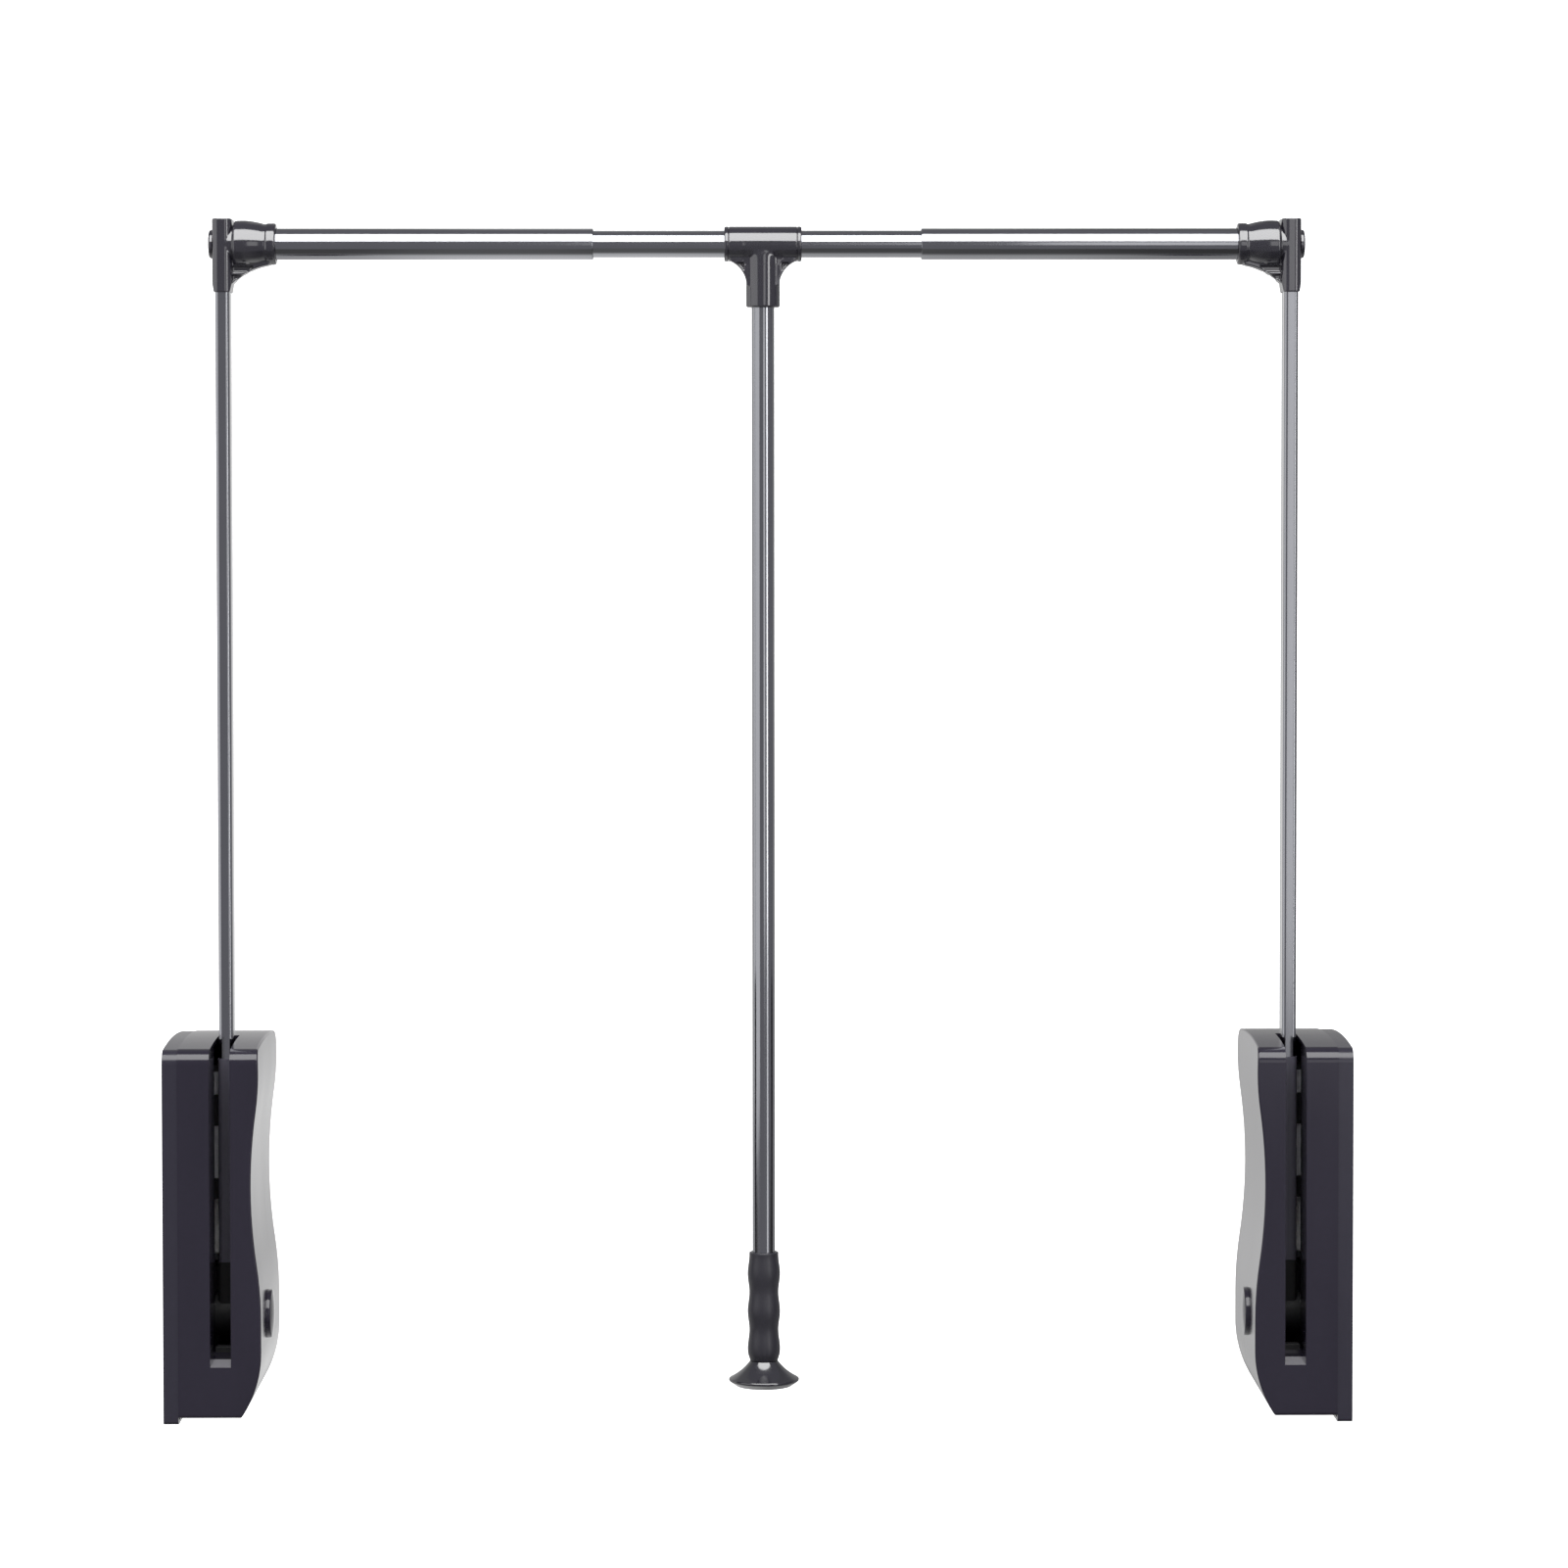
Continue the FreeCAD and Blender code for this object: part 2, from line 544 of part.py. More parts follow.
def casing():
    """Moulded cover with the waisted inner side, the arm's slot and the guides behind it."""
    body = start_body("left_casing", ARM_X, PIVOT_Y, "0")
    beyond = "low_bulge - arm_inset + 4"
    pad(body, "YZ", [unit_side("0", "foot_step")], JOINT, beyond)
    outside = casing_curve("0", "foot_step", "unit_top")
    outside += [(f"{beyond} + 1", "unit_top"), (f"{beyond} + 1", "foot_step")]
    cut(body, "XZ", [outside], FRONT, BACK)
    front = number(FRONT)
    back = number(BACK)

    def on_rim(edge, middle):
        on_face = min(abs(middle.y - front), abs(middle.y - back)) < 0.01
        return on_face and edge.Curve.TypeId == "Part::GeomCircle"
    dress(body, "Fillet", "Radius", "edge_round", on_rim)
    inside_low = "foot_step + casing_wall"
    foot_inside = on_circle("low_bulge", "foot_turn", "foot_radius", "casing_wall", inside_low)
    straight_end = "waist - casing_wall - arm_inset"
    cut(body, "YZ", [unit_side("casing_wall", inside_low)], JOINT, foot_inside)
    cut(body, "YZ", [unit_side("casing_wall", "foot_turn")], f"{foot_inside} - 1", straight_end)
    low = f"{inside_low} + foot_corner"
    hollow = casing_curve("casing_wall", low, ROOF_CORNER_HEIGHT)
    hollow += [(f"{foot_inside} - 1", ROOF_CORNER_HEIGHT), (f"{foot_inside} - 1", low)]
    cut(body, "XZ", [hollow], f"{FRONT} + casing_wall", f"{BACK} - casing_wall")

    # walls beside the slot and its floor
    channel_back = f"{FRONT} + channel_depth"
    wall_side = [
        (f"{FRONT} + casing_wall / 2", "slot_floor - channel_wall"),
        (channel_back, "slot_floor - channel_wall"),
        (channel_back, "unit_top - casing_wall - 2"),
        (f"{FRONT} + roof_corner + 1", "unit_top - casing_wall - 2"),
        (f"{FRONT} + roof_corner * 0.4", "unit_top - roof_corner * 0.8"),
        (f"{FRONT} + casing_wall / 2", "unit_top - roof_corner * 1.4"),
    ]
    pad(body, "YZ", [wall_side], f"-{SLOT} - channel_wall", f"-{SLOT}")
    pad(body, "YZ", [wall_side], SLOT, f"{SLOT} + channel_wall")
    floor = rectangle(f"{FRONT} + casing_wall / 2", "slot_floor - channel_wall", "-buffer_back", "slot_floor")
    pad(body, "YZ", [floor], f"-{SLOT} - channel_wall", f"{SLOT} + channel_wall")
    block = rectangle("-buffer_front - 0.5", "slot_floor - channel_wall", "-buffer_back",
                      "buffer_top - buffer_height")
    pad(body, "YZ", [block], f"-{SLOT} - channel_wall", f"{SLOT} + channel_wall")

    # rib behind the arm for its rubber stop
    rib_front = "arm_depth / 2 + slot_back"
    rib = rectangle(rib_front, "stop_top - stop_height - 2", f"{rib_front} + stop_wall",
                    "unit_top - casing_wall / 2")
    pad(body, "YZ", [rib], "-stop_side", f"{SLOT} + channel_wall")

    # slot through the front and the roof, with a bevelled lip at its lower end
    front_slot = rectangle(f"-{SLOT}", "slot_floor", SLOT, "unit_top + 1")
    cut(body, "XZ", [front_slot], f"{FRONT} - 1", f"{FRONT} + roof_corner")
    lip = [
        (FRONT, "slot_floor"),
        ("-buffer_front - 0.5", "slot_floor"),
        ("-buffer_front - 0.5", "slot_floor + slot_lip"),
        (f"{FRONT} + slot_lip", "slot_floor + slot_lip"),
    ]
    pad(body, "YZ", [lip], f"-{SLOT} - channel_wall / 2", f"{SLOT} + channel_wall / 2")
    roof_slot = rectangle(f"-{SLOT}", f"{FRONT} - 1", SLOT, rib_front)
    cut(body, "XY", [roof_slot], "unit_top - roof_corner", "unit_top + 1")

    # pivot boss, the cap's seat and the screw posts
    side = "low_bulge - arm_inset"
    pad(body, "YZ", [("0", "pivot_height", "pivot_boss")], "casing_boss_end", f"{side} - cap_seat - 1")
    seat = [("0", "pivot_height", "cap_radius + slip + cap_seat_floor")]
    pad(body, "YZ", seat, f"{side} - cap_seat - cap_seat_floor", f"{side} - cap_seat")
    cut(body, "YZ", [("0", "pivot_height", "cap_radius + slip")], f"{side} - cap_seat", f"{side} + 2")
    cut(body, "YZ", [("0", "pivot_height", "pin_radius + fit")], "casing_boss_end", f"{side} - cap_seat")
    post_low = "case_screw_low - case_post"
    foot_end = on_circle("low_bulge", "foot_turn", "foot_radius", "casing_wall / 4", post_low)
    front_end = f"-{SLOT} - channel_wall / 2"
    back_end = "top_bulge - arm_inset - casing_wall * 0.7"
    for (y, z), post_end in zip(CASE_SCREWS, (foot_end, front_end, foot_end, back_end)):
        pad(body, "YZ", [(y, z, "case_post")], PLATE_INSIDE, post_end)
    bores = [(y, z, "case_screw_radius + fit") for y, z in CASE_SCREWS]
    cut(body, "YZ", bores, PLATE_INSIDE, f"{WALL} + case_screw_head_height + case_screw_length + 1")
    return body


def case_screws():
    """Pan-head screws from the wall side into the casing's posts."""
    body = start_body("left_case_screws", ARM_X, PIVOT_Y, "0")
    head_inside = f"{WALL} + case_screw_head_height"
    heads = [(y, z, "case_screw_head") for y, z in CASE_SCREWS]
    pad(body, "YZ", heads, f"{WALL} + fit", head_inside)
    shanks = [(y, z, "case_screw_radius") for y, z in CASE_SCREWS]
    pad(body, "YZ", shanks, f"{head_inside} - 0.5", f"{head_inside} + case_screw_length")
    recess = [(y, z, "case_screw_radius * 0.8") for y, z in CASE_SCREWS]
    cut(body, "YZ", recess, f"{WALL} + fit", f"{WALL} + case_screw_head_height * 0.6")
    return body


def pivot_pin():
    """Steel pin from the wall plate's boss to the casing's boss."""
    body = start_body("left_pivot_pin", ARM_X, PIVOT_Y, "pivot_height")
    pad(body, "YZ", [("0", "0", "pin_radius")], PLATE_INSIDE, "low_bulge - arm_inset - cap_seat - 0.5")
    dress(body, "Chamfer", "Size", "pin_radius / 8", lambda edge, middle: edge.Closed)
    return body


def pivot_cap():
    """Round cover over the pivot on the casing's inner side."""
    body = start_body("left_pivot_cap", ARM_X, PIVOT_Y, "pivot_height")
    side = "low_bulge - arm_inset"
    face = f"{side} + cap_stand"
    outline = [
        (f"{side} - cap_seat", "0"),
        (face, "0"),
        (face, "cap_radius - cap_round", "cap_round", RIGHT),
        (f"{face} - cap_round", "cap_radius"),
        (f"{side} - cap_seat", "cap_radius"),
    ]
    turn(body, [outline], "X")
    return body


def lever():
    """Hub on the pivot with the sleeve that holds the arm."""
    body = start_body("left_lever", ARM_X, PIVOT_Y, "pivot_height")
    pad(body, "YZ", [("0", "0", "hub_radius")], "-hub_half", "hub_half")
    sleeve = centred("sleeve_half", "sleeve_depth / 2", "sleeve_round")
    pad(body, "XY", [sleeve], "0", "sleeve_top")
    socket = centred("arm_width / 2 + slip", "arm_depth / 2 + slip", "arm_corner + slip")
    cut(body, "XY", [socket], "socket_bottom", "sleeve_top")
    cut(body, "YZ", [("0", "0", "pin_radius + bush_wall + fit")], "-hub_half", "hub_half")
    rivets = [("0", height, "rivet_radius + fit") for height in ("lower_rivet", "upper_rivet")]
    cut(body, "YZ", rivets, "-sleeve_half", "sleeve_half")
    dowels = [(f"{sign} * dowel_circle", "0", "dowel_radius + fit") for sign in (-1, 1)]
    cut(body, "YZ", dowels, "-hub_half", "dowel_depth - hub_half")
    return body


def lever_bushes():
    """Flanged bearing bushes pressed into both ends of the lever's hub."""
    body = start_body("left_lever_bushes", ARM_X, PIVOT_Y, "pivot_height")
    bore = "pin_radius + fit"
    outside = "pin_radius + bush_wall"
    loops = []
    for sign in (-1, 1):
        loops.append([
            (f"{sign} * 0.5", bore),
            (f"{sign} * (hub_half + bush_flange)", bore),
            (f"{sign} * (hub_half + bush_flange)", "bush_flange_radius"),
            (f"{sign} * hub_half", "bush_flange_radius"),
            (f"{sign} * hub_half", outside),
            (f"{sign} * 0.5", outside),
        ])
    turn(body, loops, "X")
    return body


def involute(angle):
    return math.tan(angle) - angle


def pinion():
    """Toothed wheel on the lever. Its flanks are arcs through three points of the involute."""
    module = number("gear_module")
    teeth = int(number("gear_teeth"))
    pressure = math.radians(number("pressure_angle"))
    pitch = number(PITCH_RADIUS)
    base = pitch * math.cos(pressure)
    tip = pitch + module
    root = pitch - 1.25 * module
    half_tooth = (math.pi * module / 2 - number("tooth_backlash")) / 2 / pitch

    def flank_point(radius, middle, sign):
        spread = half_tooth + involute(pressure) - involute(math.acos(min(1, base / radius)))
        angle = middle + sign * spread
        return Vector(0, radius * math.cos(angle), radius * math.sin(angle))

    def arc(first, second, third):
        return Part.Arc(first, second, third).toShape()

    edges = []
    step = 2 * math.pi / teeth
    start = max(base, root)
    for tooth in range(teeth):
        middle = tooth * step
        flanks = {sign: [flank_point(radius, middle, sign) for radius in (start, pitch, tip)]
                  for sign in (-1, 1)}
        feet = {sign: flanks[sign][0] * (root / start) for sign in (-1, 1)}
        next_foot = flank_point(start, middle + step, -1) * (root / start)
        valley = Vector(0, math.cos(middle + step / 2), math.sin(middle + step / 2)) * root
        top = Vector(0, math.cos(middle), math.sin(middle)) * tip
        edges.append(Part.makeLine(feet[-1], flanks[-1][0]))
        edges.append(arc(*flanks[-1]))
        edges.append(arc(flanks[-1][2], top, flanks[1][2]))
        edges.append(arc(flanks[1][2], flanks[1][1], flanks[1][0]))
        edges.append(Part.makeLine(flanks[1][0], feet[1]))
        edges.append(arc(feet[1], valley, next_foot))
    along = Vector(1, 0, 0)
    near = -number("strut_side") + number("gear_face") / 2
    far = -number("strut_side") - number("gear_face") / 2
    wheel = Part.Face(Part.Wire(Part.__sortEdges__(edges))).extrude(along * (near - far))
    wheel.translate(along * far)
    collar_end = -number("hub_half")
    collar_start = Vector(near - 1, 0, 0)
    collar = Part.makeCylinder(number("collar_radius"), collar_end - near + 1, collar_start, along)
    recess_start = Vector(collar_end - 1.5, 0, 0)
    recess = Part.makeCylinder(number("collar_bore"), 2, recess_start, along)
    bore_start = Vector(far - 1, 0, 0)
    bore = Part.makeCylinder(number("pin_radius + 2 * fit"), collar_end - far + 2, bore_start, along)
    solid = wheel.fuse(collar).cut(recess).cut(bore)
    for sign in (-1, 1):
        hole_start = Vector(collar_end - number("dowel_depth"), sign * number("dowel_circle"), 0)
        hole = Part.makeCylinder(number("dowel_radius + fit"), number("dowel_depth") + 1, hole_start, along)
        solid = solid.cut(hole)
    wheel_piece = doc.addObject("Part::Feature", "Pinion")
    wheel_piece.Label = "left_pinion"
    wheel_piece.Shape = solid.removeSplitter()
    place = Vector(number(ARM_X), number(PIVOT_Y), number("pivot_height"))
    wheel_piece.Placement = Placement(place, Rotation())
    pieces.append(wheel_piece)
    return wheel_piece


def pinion_dowels():
    """Dowels that make the pinion turn with the lever."""
    body = start_body("left_pinion_dowels", ARM_X, PIVOT_Y, "pivot_height")
    dowels = [(f"{sign} * dowel_circle", "0", "dowel_radius") for sign in (-1, 1)]
    pad(body, "YZ", dowels, "-hub_half - dowel_depth", "dowel_depth - hub_half")
    return body


def rack():
    """Toothed bar that the pinion lifts, with the shelf under the strut."""
    body = start_body("left_rack", ARM_X, PIVOT_Y, "pivot_height")
    pitch_line = PITCH_RADIUS
    tooth_root = f"{pitch_line} + 1.15 * gear_module"
    tooth_tip = f"{pitch_line} - 0.9 * gear_module"
    tooth_step = f"({math.pi} * gear_module)"
    bottom = f"-(rack_teeth - 1.5) * {tooth_step}"
    far = "-strut_side - gear_face / 2"
    near = "-strut_side + gear_face / 2"
    bar = rectangle(far, tooth_root, near, "rack_back")
    top = "head_bottom - pivot_height"
    pad(body, "XY", [bar], f"{bottom} - {tooth_step} / 2", top)
    pad(body, "XY", [("-strut_offset", "strut_back", "shelf_radius")], f"{top} - shelf_height", top)
    half = f"({tooth_step} / 4 - tooth_backlash / 2)"
    half_tip = f"({half} - 0.9 * gear_module * tan(pressure_angle))"
    half_root = f"({half} + 1.2 * gear_module * tan(pressure_angle))"
    tooth = [
        (f"{pitch_line} + 1.2 * gear_module", f"{bottom} - {half_root}"),
        (f"{pitch_line} + 1.2 * gear_module", f"{bottom} + {half_root}"),
        (tooth_tip, f"{bottom} + {half_tip}"),
        (tooth_tip, f"{bottom} - {half_tip}"),
    ]
    first = pad(body, "YZ", [tooth], far, near)
    doc.recompute()
    pattern = body.newObject("PartDesign::LinearPattern", "RackTeeth")
    pattern.Originals = [first]
    pattern.Direction = (first.Profile[0], ["V_Axis"])
    bind(pattern, "Length", f"(rack_teeth - 1) * {tooth_step}")
    bind(pattern, "Occurrences", "rack_teeth")
    body.Tip = pattern
    doc.recompute()
    pin_hole = [("-strut_offset", "strut_back", "rod_thickness + fit")]
    cut(body, "XY", pin_hole, f"{top} - foot_pin", top)
    return body


def rack_guide():
    """Channel on the wall plate that keeps the rack upright and in mesh."""
    body = start_body("left_rack_guide", ARM_X, PIVOT_Y, "0")
    far = "-strut_side - gear_face / 2 - guide_gap"
    near = "-strut_side + gear_face / 2 + guide_gap"
    rear = "rack_back + guide_gap"
    channel = [
        (PLATE_INSIDE, f"{rear} - 4"),
        (f"{far} - guide_wall", f"{rear} - 4"),
        (f"{far} - guide_wall", "guide_front"),
        (far, "guide_front"),
        (far, rear),
        (near, rear),
        (near, "guide_front"),
        (f"{near} + guide_wall", "guide_front"),
        (f"{near} + guide_wall", f"{rear} + guide_back_wall"),
        (PLATE_INSIDE, f"{rear} + guide_back_wall"),
    ]
    pad(body, "XY", [channel], "guide_bottom", "guide_bottom + guide_height")
    return body


def strut_cylinder():
    """Steel cylinder of the gas strut, closed at the top."""
    body = start_body("left_strut_cylinder", STRUT_X, STRUT_Y, "0")
    outline = [
        ("strut_bore", "strut_low"),
        ("strut_radius", "strut_low"),
        ("strut_radius", "strut_top - 1.2", "1.2", LEFT),
        ("strut_radius - 1.2", "strut_top"),
        ("0", "strut_top"),
        ("0", "strut_top - strut_end"),
        ("strut_bore", "strut_top - strut_end"),
    ]
    turn(body, [outline], "Z")
    return body


def strut_guide():
    """Plastic guide on the cylinder's lower end, with a shroud round the rod's end fitting."""
    body = start_body("left_strut_guide", STRUT_X, STRUT_Y, "0")
    rod_bore = "rod_thickness + fit"
    outline = [
        (rod_bore, "strut_low - 1.2"),
        ("foot_end_radius + 0.5", "strut_low - 1.2"),
        ("foot_end_radius + 0.5", "guide_cap_low"),
        ("guide_cap_radius", "guide_cap_low"),
        ("guide_cap_radius", "guide_cap_top - 0.4"),
        ("guide_cap_radius - 0.4", "guide_cap_top"),
        ("strut_radius + fit", "guide_cap_top"),
        ("strut_radius + fit", "strut_low"),
        ("strut_bore - fit", "strut_low"),
        ("strut_bore - fit", "strut_low + guide_plug"),
        (rod_bore, "strut_low + guide_plug"),
    ]
    turn(body, [outline], "Z")
    return body


def strut_rod():
    """Polished rod with its piston, and the bright end fitting that stands on the rack's shelf."""
    body = start_body("left_strut_rod", STRUT_X, STRUT_Y, "0")
    fitting_top = "head_bottom + foot_end_height"
    outline = [
        ("0", "head_bottom - foot_pin"),
        ("rod_thickness", "head_bottom - foot_pin"),
        ("rod_thickness", "head_bottom"),
        ("foot_end_radius - 1", "head_bottom", "1", LEFT),
        ("foot_end_radius", "head_bottom + 1"),
        ("foot_end_radius", "head_bottom + 2", "60", LEFT),
        ("foot_end_neck", fitting_top),
        ("rod_thickness", fitting_top),
        ("rod_thickness", "piston_top - piston_height"),
        ("strut_bore - fit", "piston_top - piston_height"),
        ("strut_bore - fit", "piston_top"),
        ("0", "piston_top"),
    ]
    turn(body, [outline], "Z")
    return body


def strut_holder():
    """Bracket on the wall plate: a ring round the strut's cylinder and a shelf over its top."""
    body = start_body("left_strut_holder", ARM_X, PIVOT_Y, "0")
    top = "strut_top + holder_shelf"
    back = rectangle(PLATE_INSIDE, "strut_back - holder_half", "1 - strut_offset - strut_radius",
                     "strut_back + holder_half")
    pad(body, "XY", [back], "holder_low", top)
    axis = ("-strut_offset", "strut_back")
    pad(body, "XY", [axis + ("holder_radius",)], "holder_low", "holder_high")
    pad(body, "XY", [axis + ("strut_radius",)], "strut_top", top)
    cut(body, "XY", [axis + ("strut_radius + fit",)], "holder_low", "strut_top")
    return body


def arm_stop():
    """Rubber pad that the raised arm rests against."""
    body = start_body("left_arm_stop", ARM_X, PIVOT_Y, "0")
    front = "arm_depth / 2 + cover_wall + stop_gap"
    pad_side = rectangle(front, "stop_top - stop_height", "arm_depth / 2 + slot_back", "stop_top")
    pad(body, "YZ", [pad_side], "-stop_side", "buffer_half")
    dress(body, "Fillet", "Radius", "0.8",
          lambda edge, middle: abs(middle.y - number(front)) < 0.01)
    return body


def lower_buffer():
    """Rubber pad that the lowered arm comes to rest on."""
    body = start_body("left_lower_buffer", ARM_X, PIVOT_Y, "0")
    side = rectangle("-buffer_front", "buffer_top - buffer_height", "-buffer_back", "buffer_top")
    pad(body, "YZ", [side], "-buffer_half", "buffer_half")
    dress(body, "Fillet", "Radius", "0.8",
          lambda edge, middle: abs(middle.z - number("buffer_top")) < 0.01)
    return body


# ---------------------------------------------------------------- arm and corner

def arm():
    """Rectangular steel tube from the lever's sleeve to the corner connector."""
    body = start_body("left_arm", ARM_X, PIVOT_Y, "pivot_height")
    top = "rail_height - pivot_height + arm_above_rail"
    outside = centred("arm_width / 2", "arm_depth / 2", "arm_corner")
    inside = centred("arm_width / 2 - arm_wall", "arm_depth / 2 - arm_wall", "arm_corner - arm_wall")
    pad(body, "XY", [outside, inside], "socket_bottom + slip", top)
    rivets = [("0", height, "rivet_radius + fit") for height in ("lower_rivet", "upper_rivet")]
    cut(body, "YZ", rivets, "-arm_width", "arm_width")
    bolt = [("0", "rail_height - pivot_height", "bolt_radius + slip")]
    cut(body, "YZ", bolt, "-arm_width", "arm_width")
    return body


def arm_cover():
    """Thin plastic cover on the foot of the arm, from the lever's sleeve to just over the roof."""
    body = start_body("left_arm_cover", ARM_X, PIVOT_Y, "0")
    outside = centred("arm_width / 2 + cover_wall", "arm_depth / 2 + cover_wall",
                      "arm_corner + cover_wall")
    inside = centred("arm_width / 2 + fit", "arm_depth / 2 + fit", "arm_corner + fit")
    pad(body, "XY", [outside, inside], "pivot_height + sleeve_top", "cover_top")
    return body


def arm_rivets():
    """Rivets through the sleeve and the foot of the arm."""
    body = start_body("left_arm_rivets", ARM_X, PIVOT_Y, "pivot_height")
    heights = ("lower_rivet", "upper_rivet")
    shanks = [("0", height, "rivet_radius") for height in heights]
    pad(body, "YZ", shanks, "-sleeve_half - rivet_head_height", "sleeve_half + rivet_head_height")
    heads = [("0", height, "rivet_head") for height in heights]
    pad(body, "YZ", heads, "-sleeve_half - rivet_head_height", "-sleeve_half")
    pad(body, "YZ", heads, "sleeve_half", "sleeve_half + rivet_head_height")
    return body


def corner_connector():
    """Moulded corner: a post on the arm, a swelling collar on the rail and a hollowed web between."""
    body = start_body("left_corner_connector", ARM_X, PIVOT_Y, "rail_height")
    post = centred("post_half", "post_depth / 2", "post_round")
    pad(body, "XY", [post], "-post_bottom", "post_top")
    dress(body, "Fillet", "Radius", "post_edge",
          lambda edge, middle: abs(middle.z - number("post_top")) < 0.01)
    collar = [
        ("0", "0"),
        ("0", "collar_neck - 1"),
        ("post_half + 1", "collar_neck - 1"),
        ("post_half + 1", "collar_swell - 1.5", "1.5", RIGHT),
        ("post_half + 2.5", "collar_swell - 0.2"),
        ("collar_swell_at", "collar_swell", "60", RIGHT),
        ("collar_neck_at", "collar_neck"),
        ("collar_neck_at + 1", "collar_neck", "1.5", RIGHT),
        ("collar_neck_at + 2", "collar_rim"),
        ("collar_end - 1.2", "collar_rim", "1.2", RIGHT),
        ("collar_end", "collar_rim - 1.2"),
        ("collar_end", "0"),
    ]
    turn(body, [collar], "X")
    web = [
        ("0", "-web_foot"),
        ("post_half - 0.4", "-web_foot", "web_radius", RIGHT),
        ("web_end", "-web_drop"),
        ("web_end", "-collar_neck / 2"),
        ("0", "-collar_neck / 2"),
    ]
    pad(body, "XZ", [web], "-web_half", "web_half")
    pocket_end = "post_half + (web_end - post_half) * 0.62"
    upper = "-collar_swell + 1"
    middle = "-collar_swell - 4.2"
    pockets = [
        [("post_half", f"{middle} + web_rib / 2"), (f"{pocket_end} - 5", f"{middle} + web_rib / 2"),
         (pocket_end, upper), ("post_half", upper)],
        [("post_half", f"{middle} - web_rib / 2 - 5"), (f"{pocket_end} - 7", f"{middle} - web_rib / 2"),
         ("post_half", f"{middle} - web_rib / 2")],
    ]
    cut(body, "XZ", pockets, "-web_half", "-web_half + web_pocket")
    cut(body, "XZ", pockets, "web_half - web_pocket", "web_half")
    funnels = []
    for sign in (-1, 1):
        funnels.append([
            (f"{sign} * (post_half + 1)", "-post_bottom - 1"),
            (f"{sign} * (post_half - funnel_step)", "-post_bottom - 1"),
            (f"{sign} * (post_half - funnel_step)", "-post_bottom"),
            (f"{sign} * post_half", "funnel_height - post_bottom"),
            (f"{sign} * (post_half + 1)", "funnel_height - post_bottom"),
        ])
    cut(body, "XZ", funnels, "-post_depth", "post_depth")
    socket = centred("arm_width / 2 + slip", "arm_depth / 2 + slip", "arm_corner + slip")
    cut(body, "XY", [socket], "-post_bottom", "arm_above_rail + slip")
    cut(body, "YZ", [("0", "0", "tube_radius + fit")], "tube_start - slip", "collar_end")
    cut(body, "YZ", [("0", "0", "bolt_radius + slip")], "-post_half", "tube_start")
    return body


def corner_bolt():
    """Bolt through the connector and the arm into the rail tube's plug."""
    body = start_body("left_corner_bolt", ARM_X, PIVOT_Y, "rail_height")
    outline = [
        ("-post_half - bolt_head_height", "0"),
        ("-post_half - bolt_head_height", "bolt_head - 1", "1", RIGHT),
        ("1 - post_half - bolt_head_height", "bolt_head"),
        ("-post_half", "bolt_head"),
        ("-post_half", "bolt_radius"),
        ("bolt_end", "bolt_radius"),
        ("bolt_end", "0"),
    ]
    turn(body, [outline], "X")
    key = hexagon("bolt_radius * 0.6")
    cut(body, "YZ", [key], "-post_half - bolt_head_height", "-post_half - 0.6")
    return body


def hexagon(half_flat):
    """A hexagon about the origin, by half of its width across flats."""
    corner = f"({half_flat}) / cos(30)"
    return [(f"{corner} * cos({angle})", f"{corner} * sin({angle})") if angle % 180 else
            (f"{corner} * cos({angle})", "0")
            for angle in range(0, 360, 60)]


def corner_cap():
    """Snap-on cover over the corner bolt."""
    body = start_body("left_corner_cap", ARM_X, PIVOT_Y, "rail_height")
    face = "-post_half - end_cap_height"
    outline = [
        (face, "0"),
        (face, "end_cap_radius - 1.5", "1.5", RIGHT),
        (f"{face} + 1.5", "end_cap_radius"),
        ("-post_half", "end_cap_radius"),
        ("-post_half", "bolt_head + 1"),
        (f"{face} + end_cap_wall", "bolt_head + 1"),
        (f"{face} + end_cap_wall", "0"),
    ]
    turn(body, [outline], "X")
    return body


def tube_plug():
    """Threaded plug in the rail tube for the corner bolt."""
    body = start_body("left_tube_plug", ARM_X, PIVOT_Y, "rail_height")
    outside = "tube_radius - tube_wall - fit"
    outline = rectangle("tube_start", "bolt_radius + fit", "tube_start + plug_length", outside)
    turn(body, [outline], "X")
    return body


def outer_tube():
    """Outer rail tube with a mouth rolled in round the inner tube."""
    body = start_body("left_outer_tube", ARM_X, PIVOT_Y, "rail_height")
    mouth = "overall_width / 2 - arm_inset - tube_mouth"
    bore = "tube_radius - tube_wall"
    outline = [
        ("tube_start", bore),
        (f"{mouth} - mouth_length - 1", bore),
        (f"{mouth} - mouth_length", "inner_radius + slip"),
        (mouth, "inner_radius + slip"),
        (mouth, "tube_radius - 0.6", "0.6", LEFT),
        (f"{mouth} - 0.6", "tube_radius"),
        ("tube_start", "tube_radius"),
    ]
    turn(body, [outline], "X")
    return body


def rail_glide():
    """Plastic glide on the end of the inner tube, running in the outer tube."""
    body = start_body("left_rail_glide", "0", PIVOT_Y, "rail_height")
    outline = [
        ("-inner_half - glide_flange", "inner_radius - inner_wall - 2"),
        ("glide_plug - inner_half", "inner_radius - inner_wall - 2"),
        ("glide_plug - inner_half", "inner_radius - inner_wall - fit"),
        ("-inner_half", "inner_radius - inner_wall - fit"),
        ("-inner_half", "tube_radius - tube_wall - fit"),
        ("-inner_half - glide_flange", "tube_radius - tube_wall - fit"),
    ]
    turn(body, [outline], "X")
    return body


# ---------------------------------------------------------------- middle of the rail

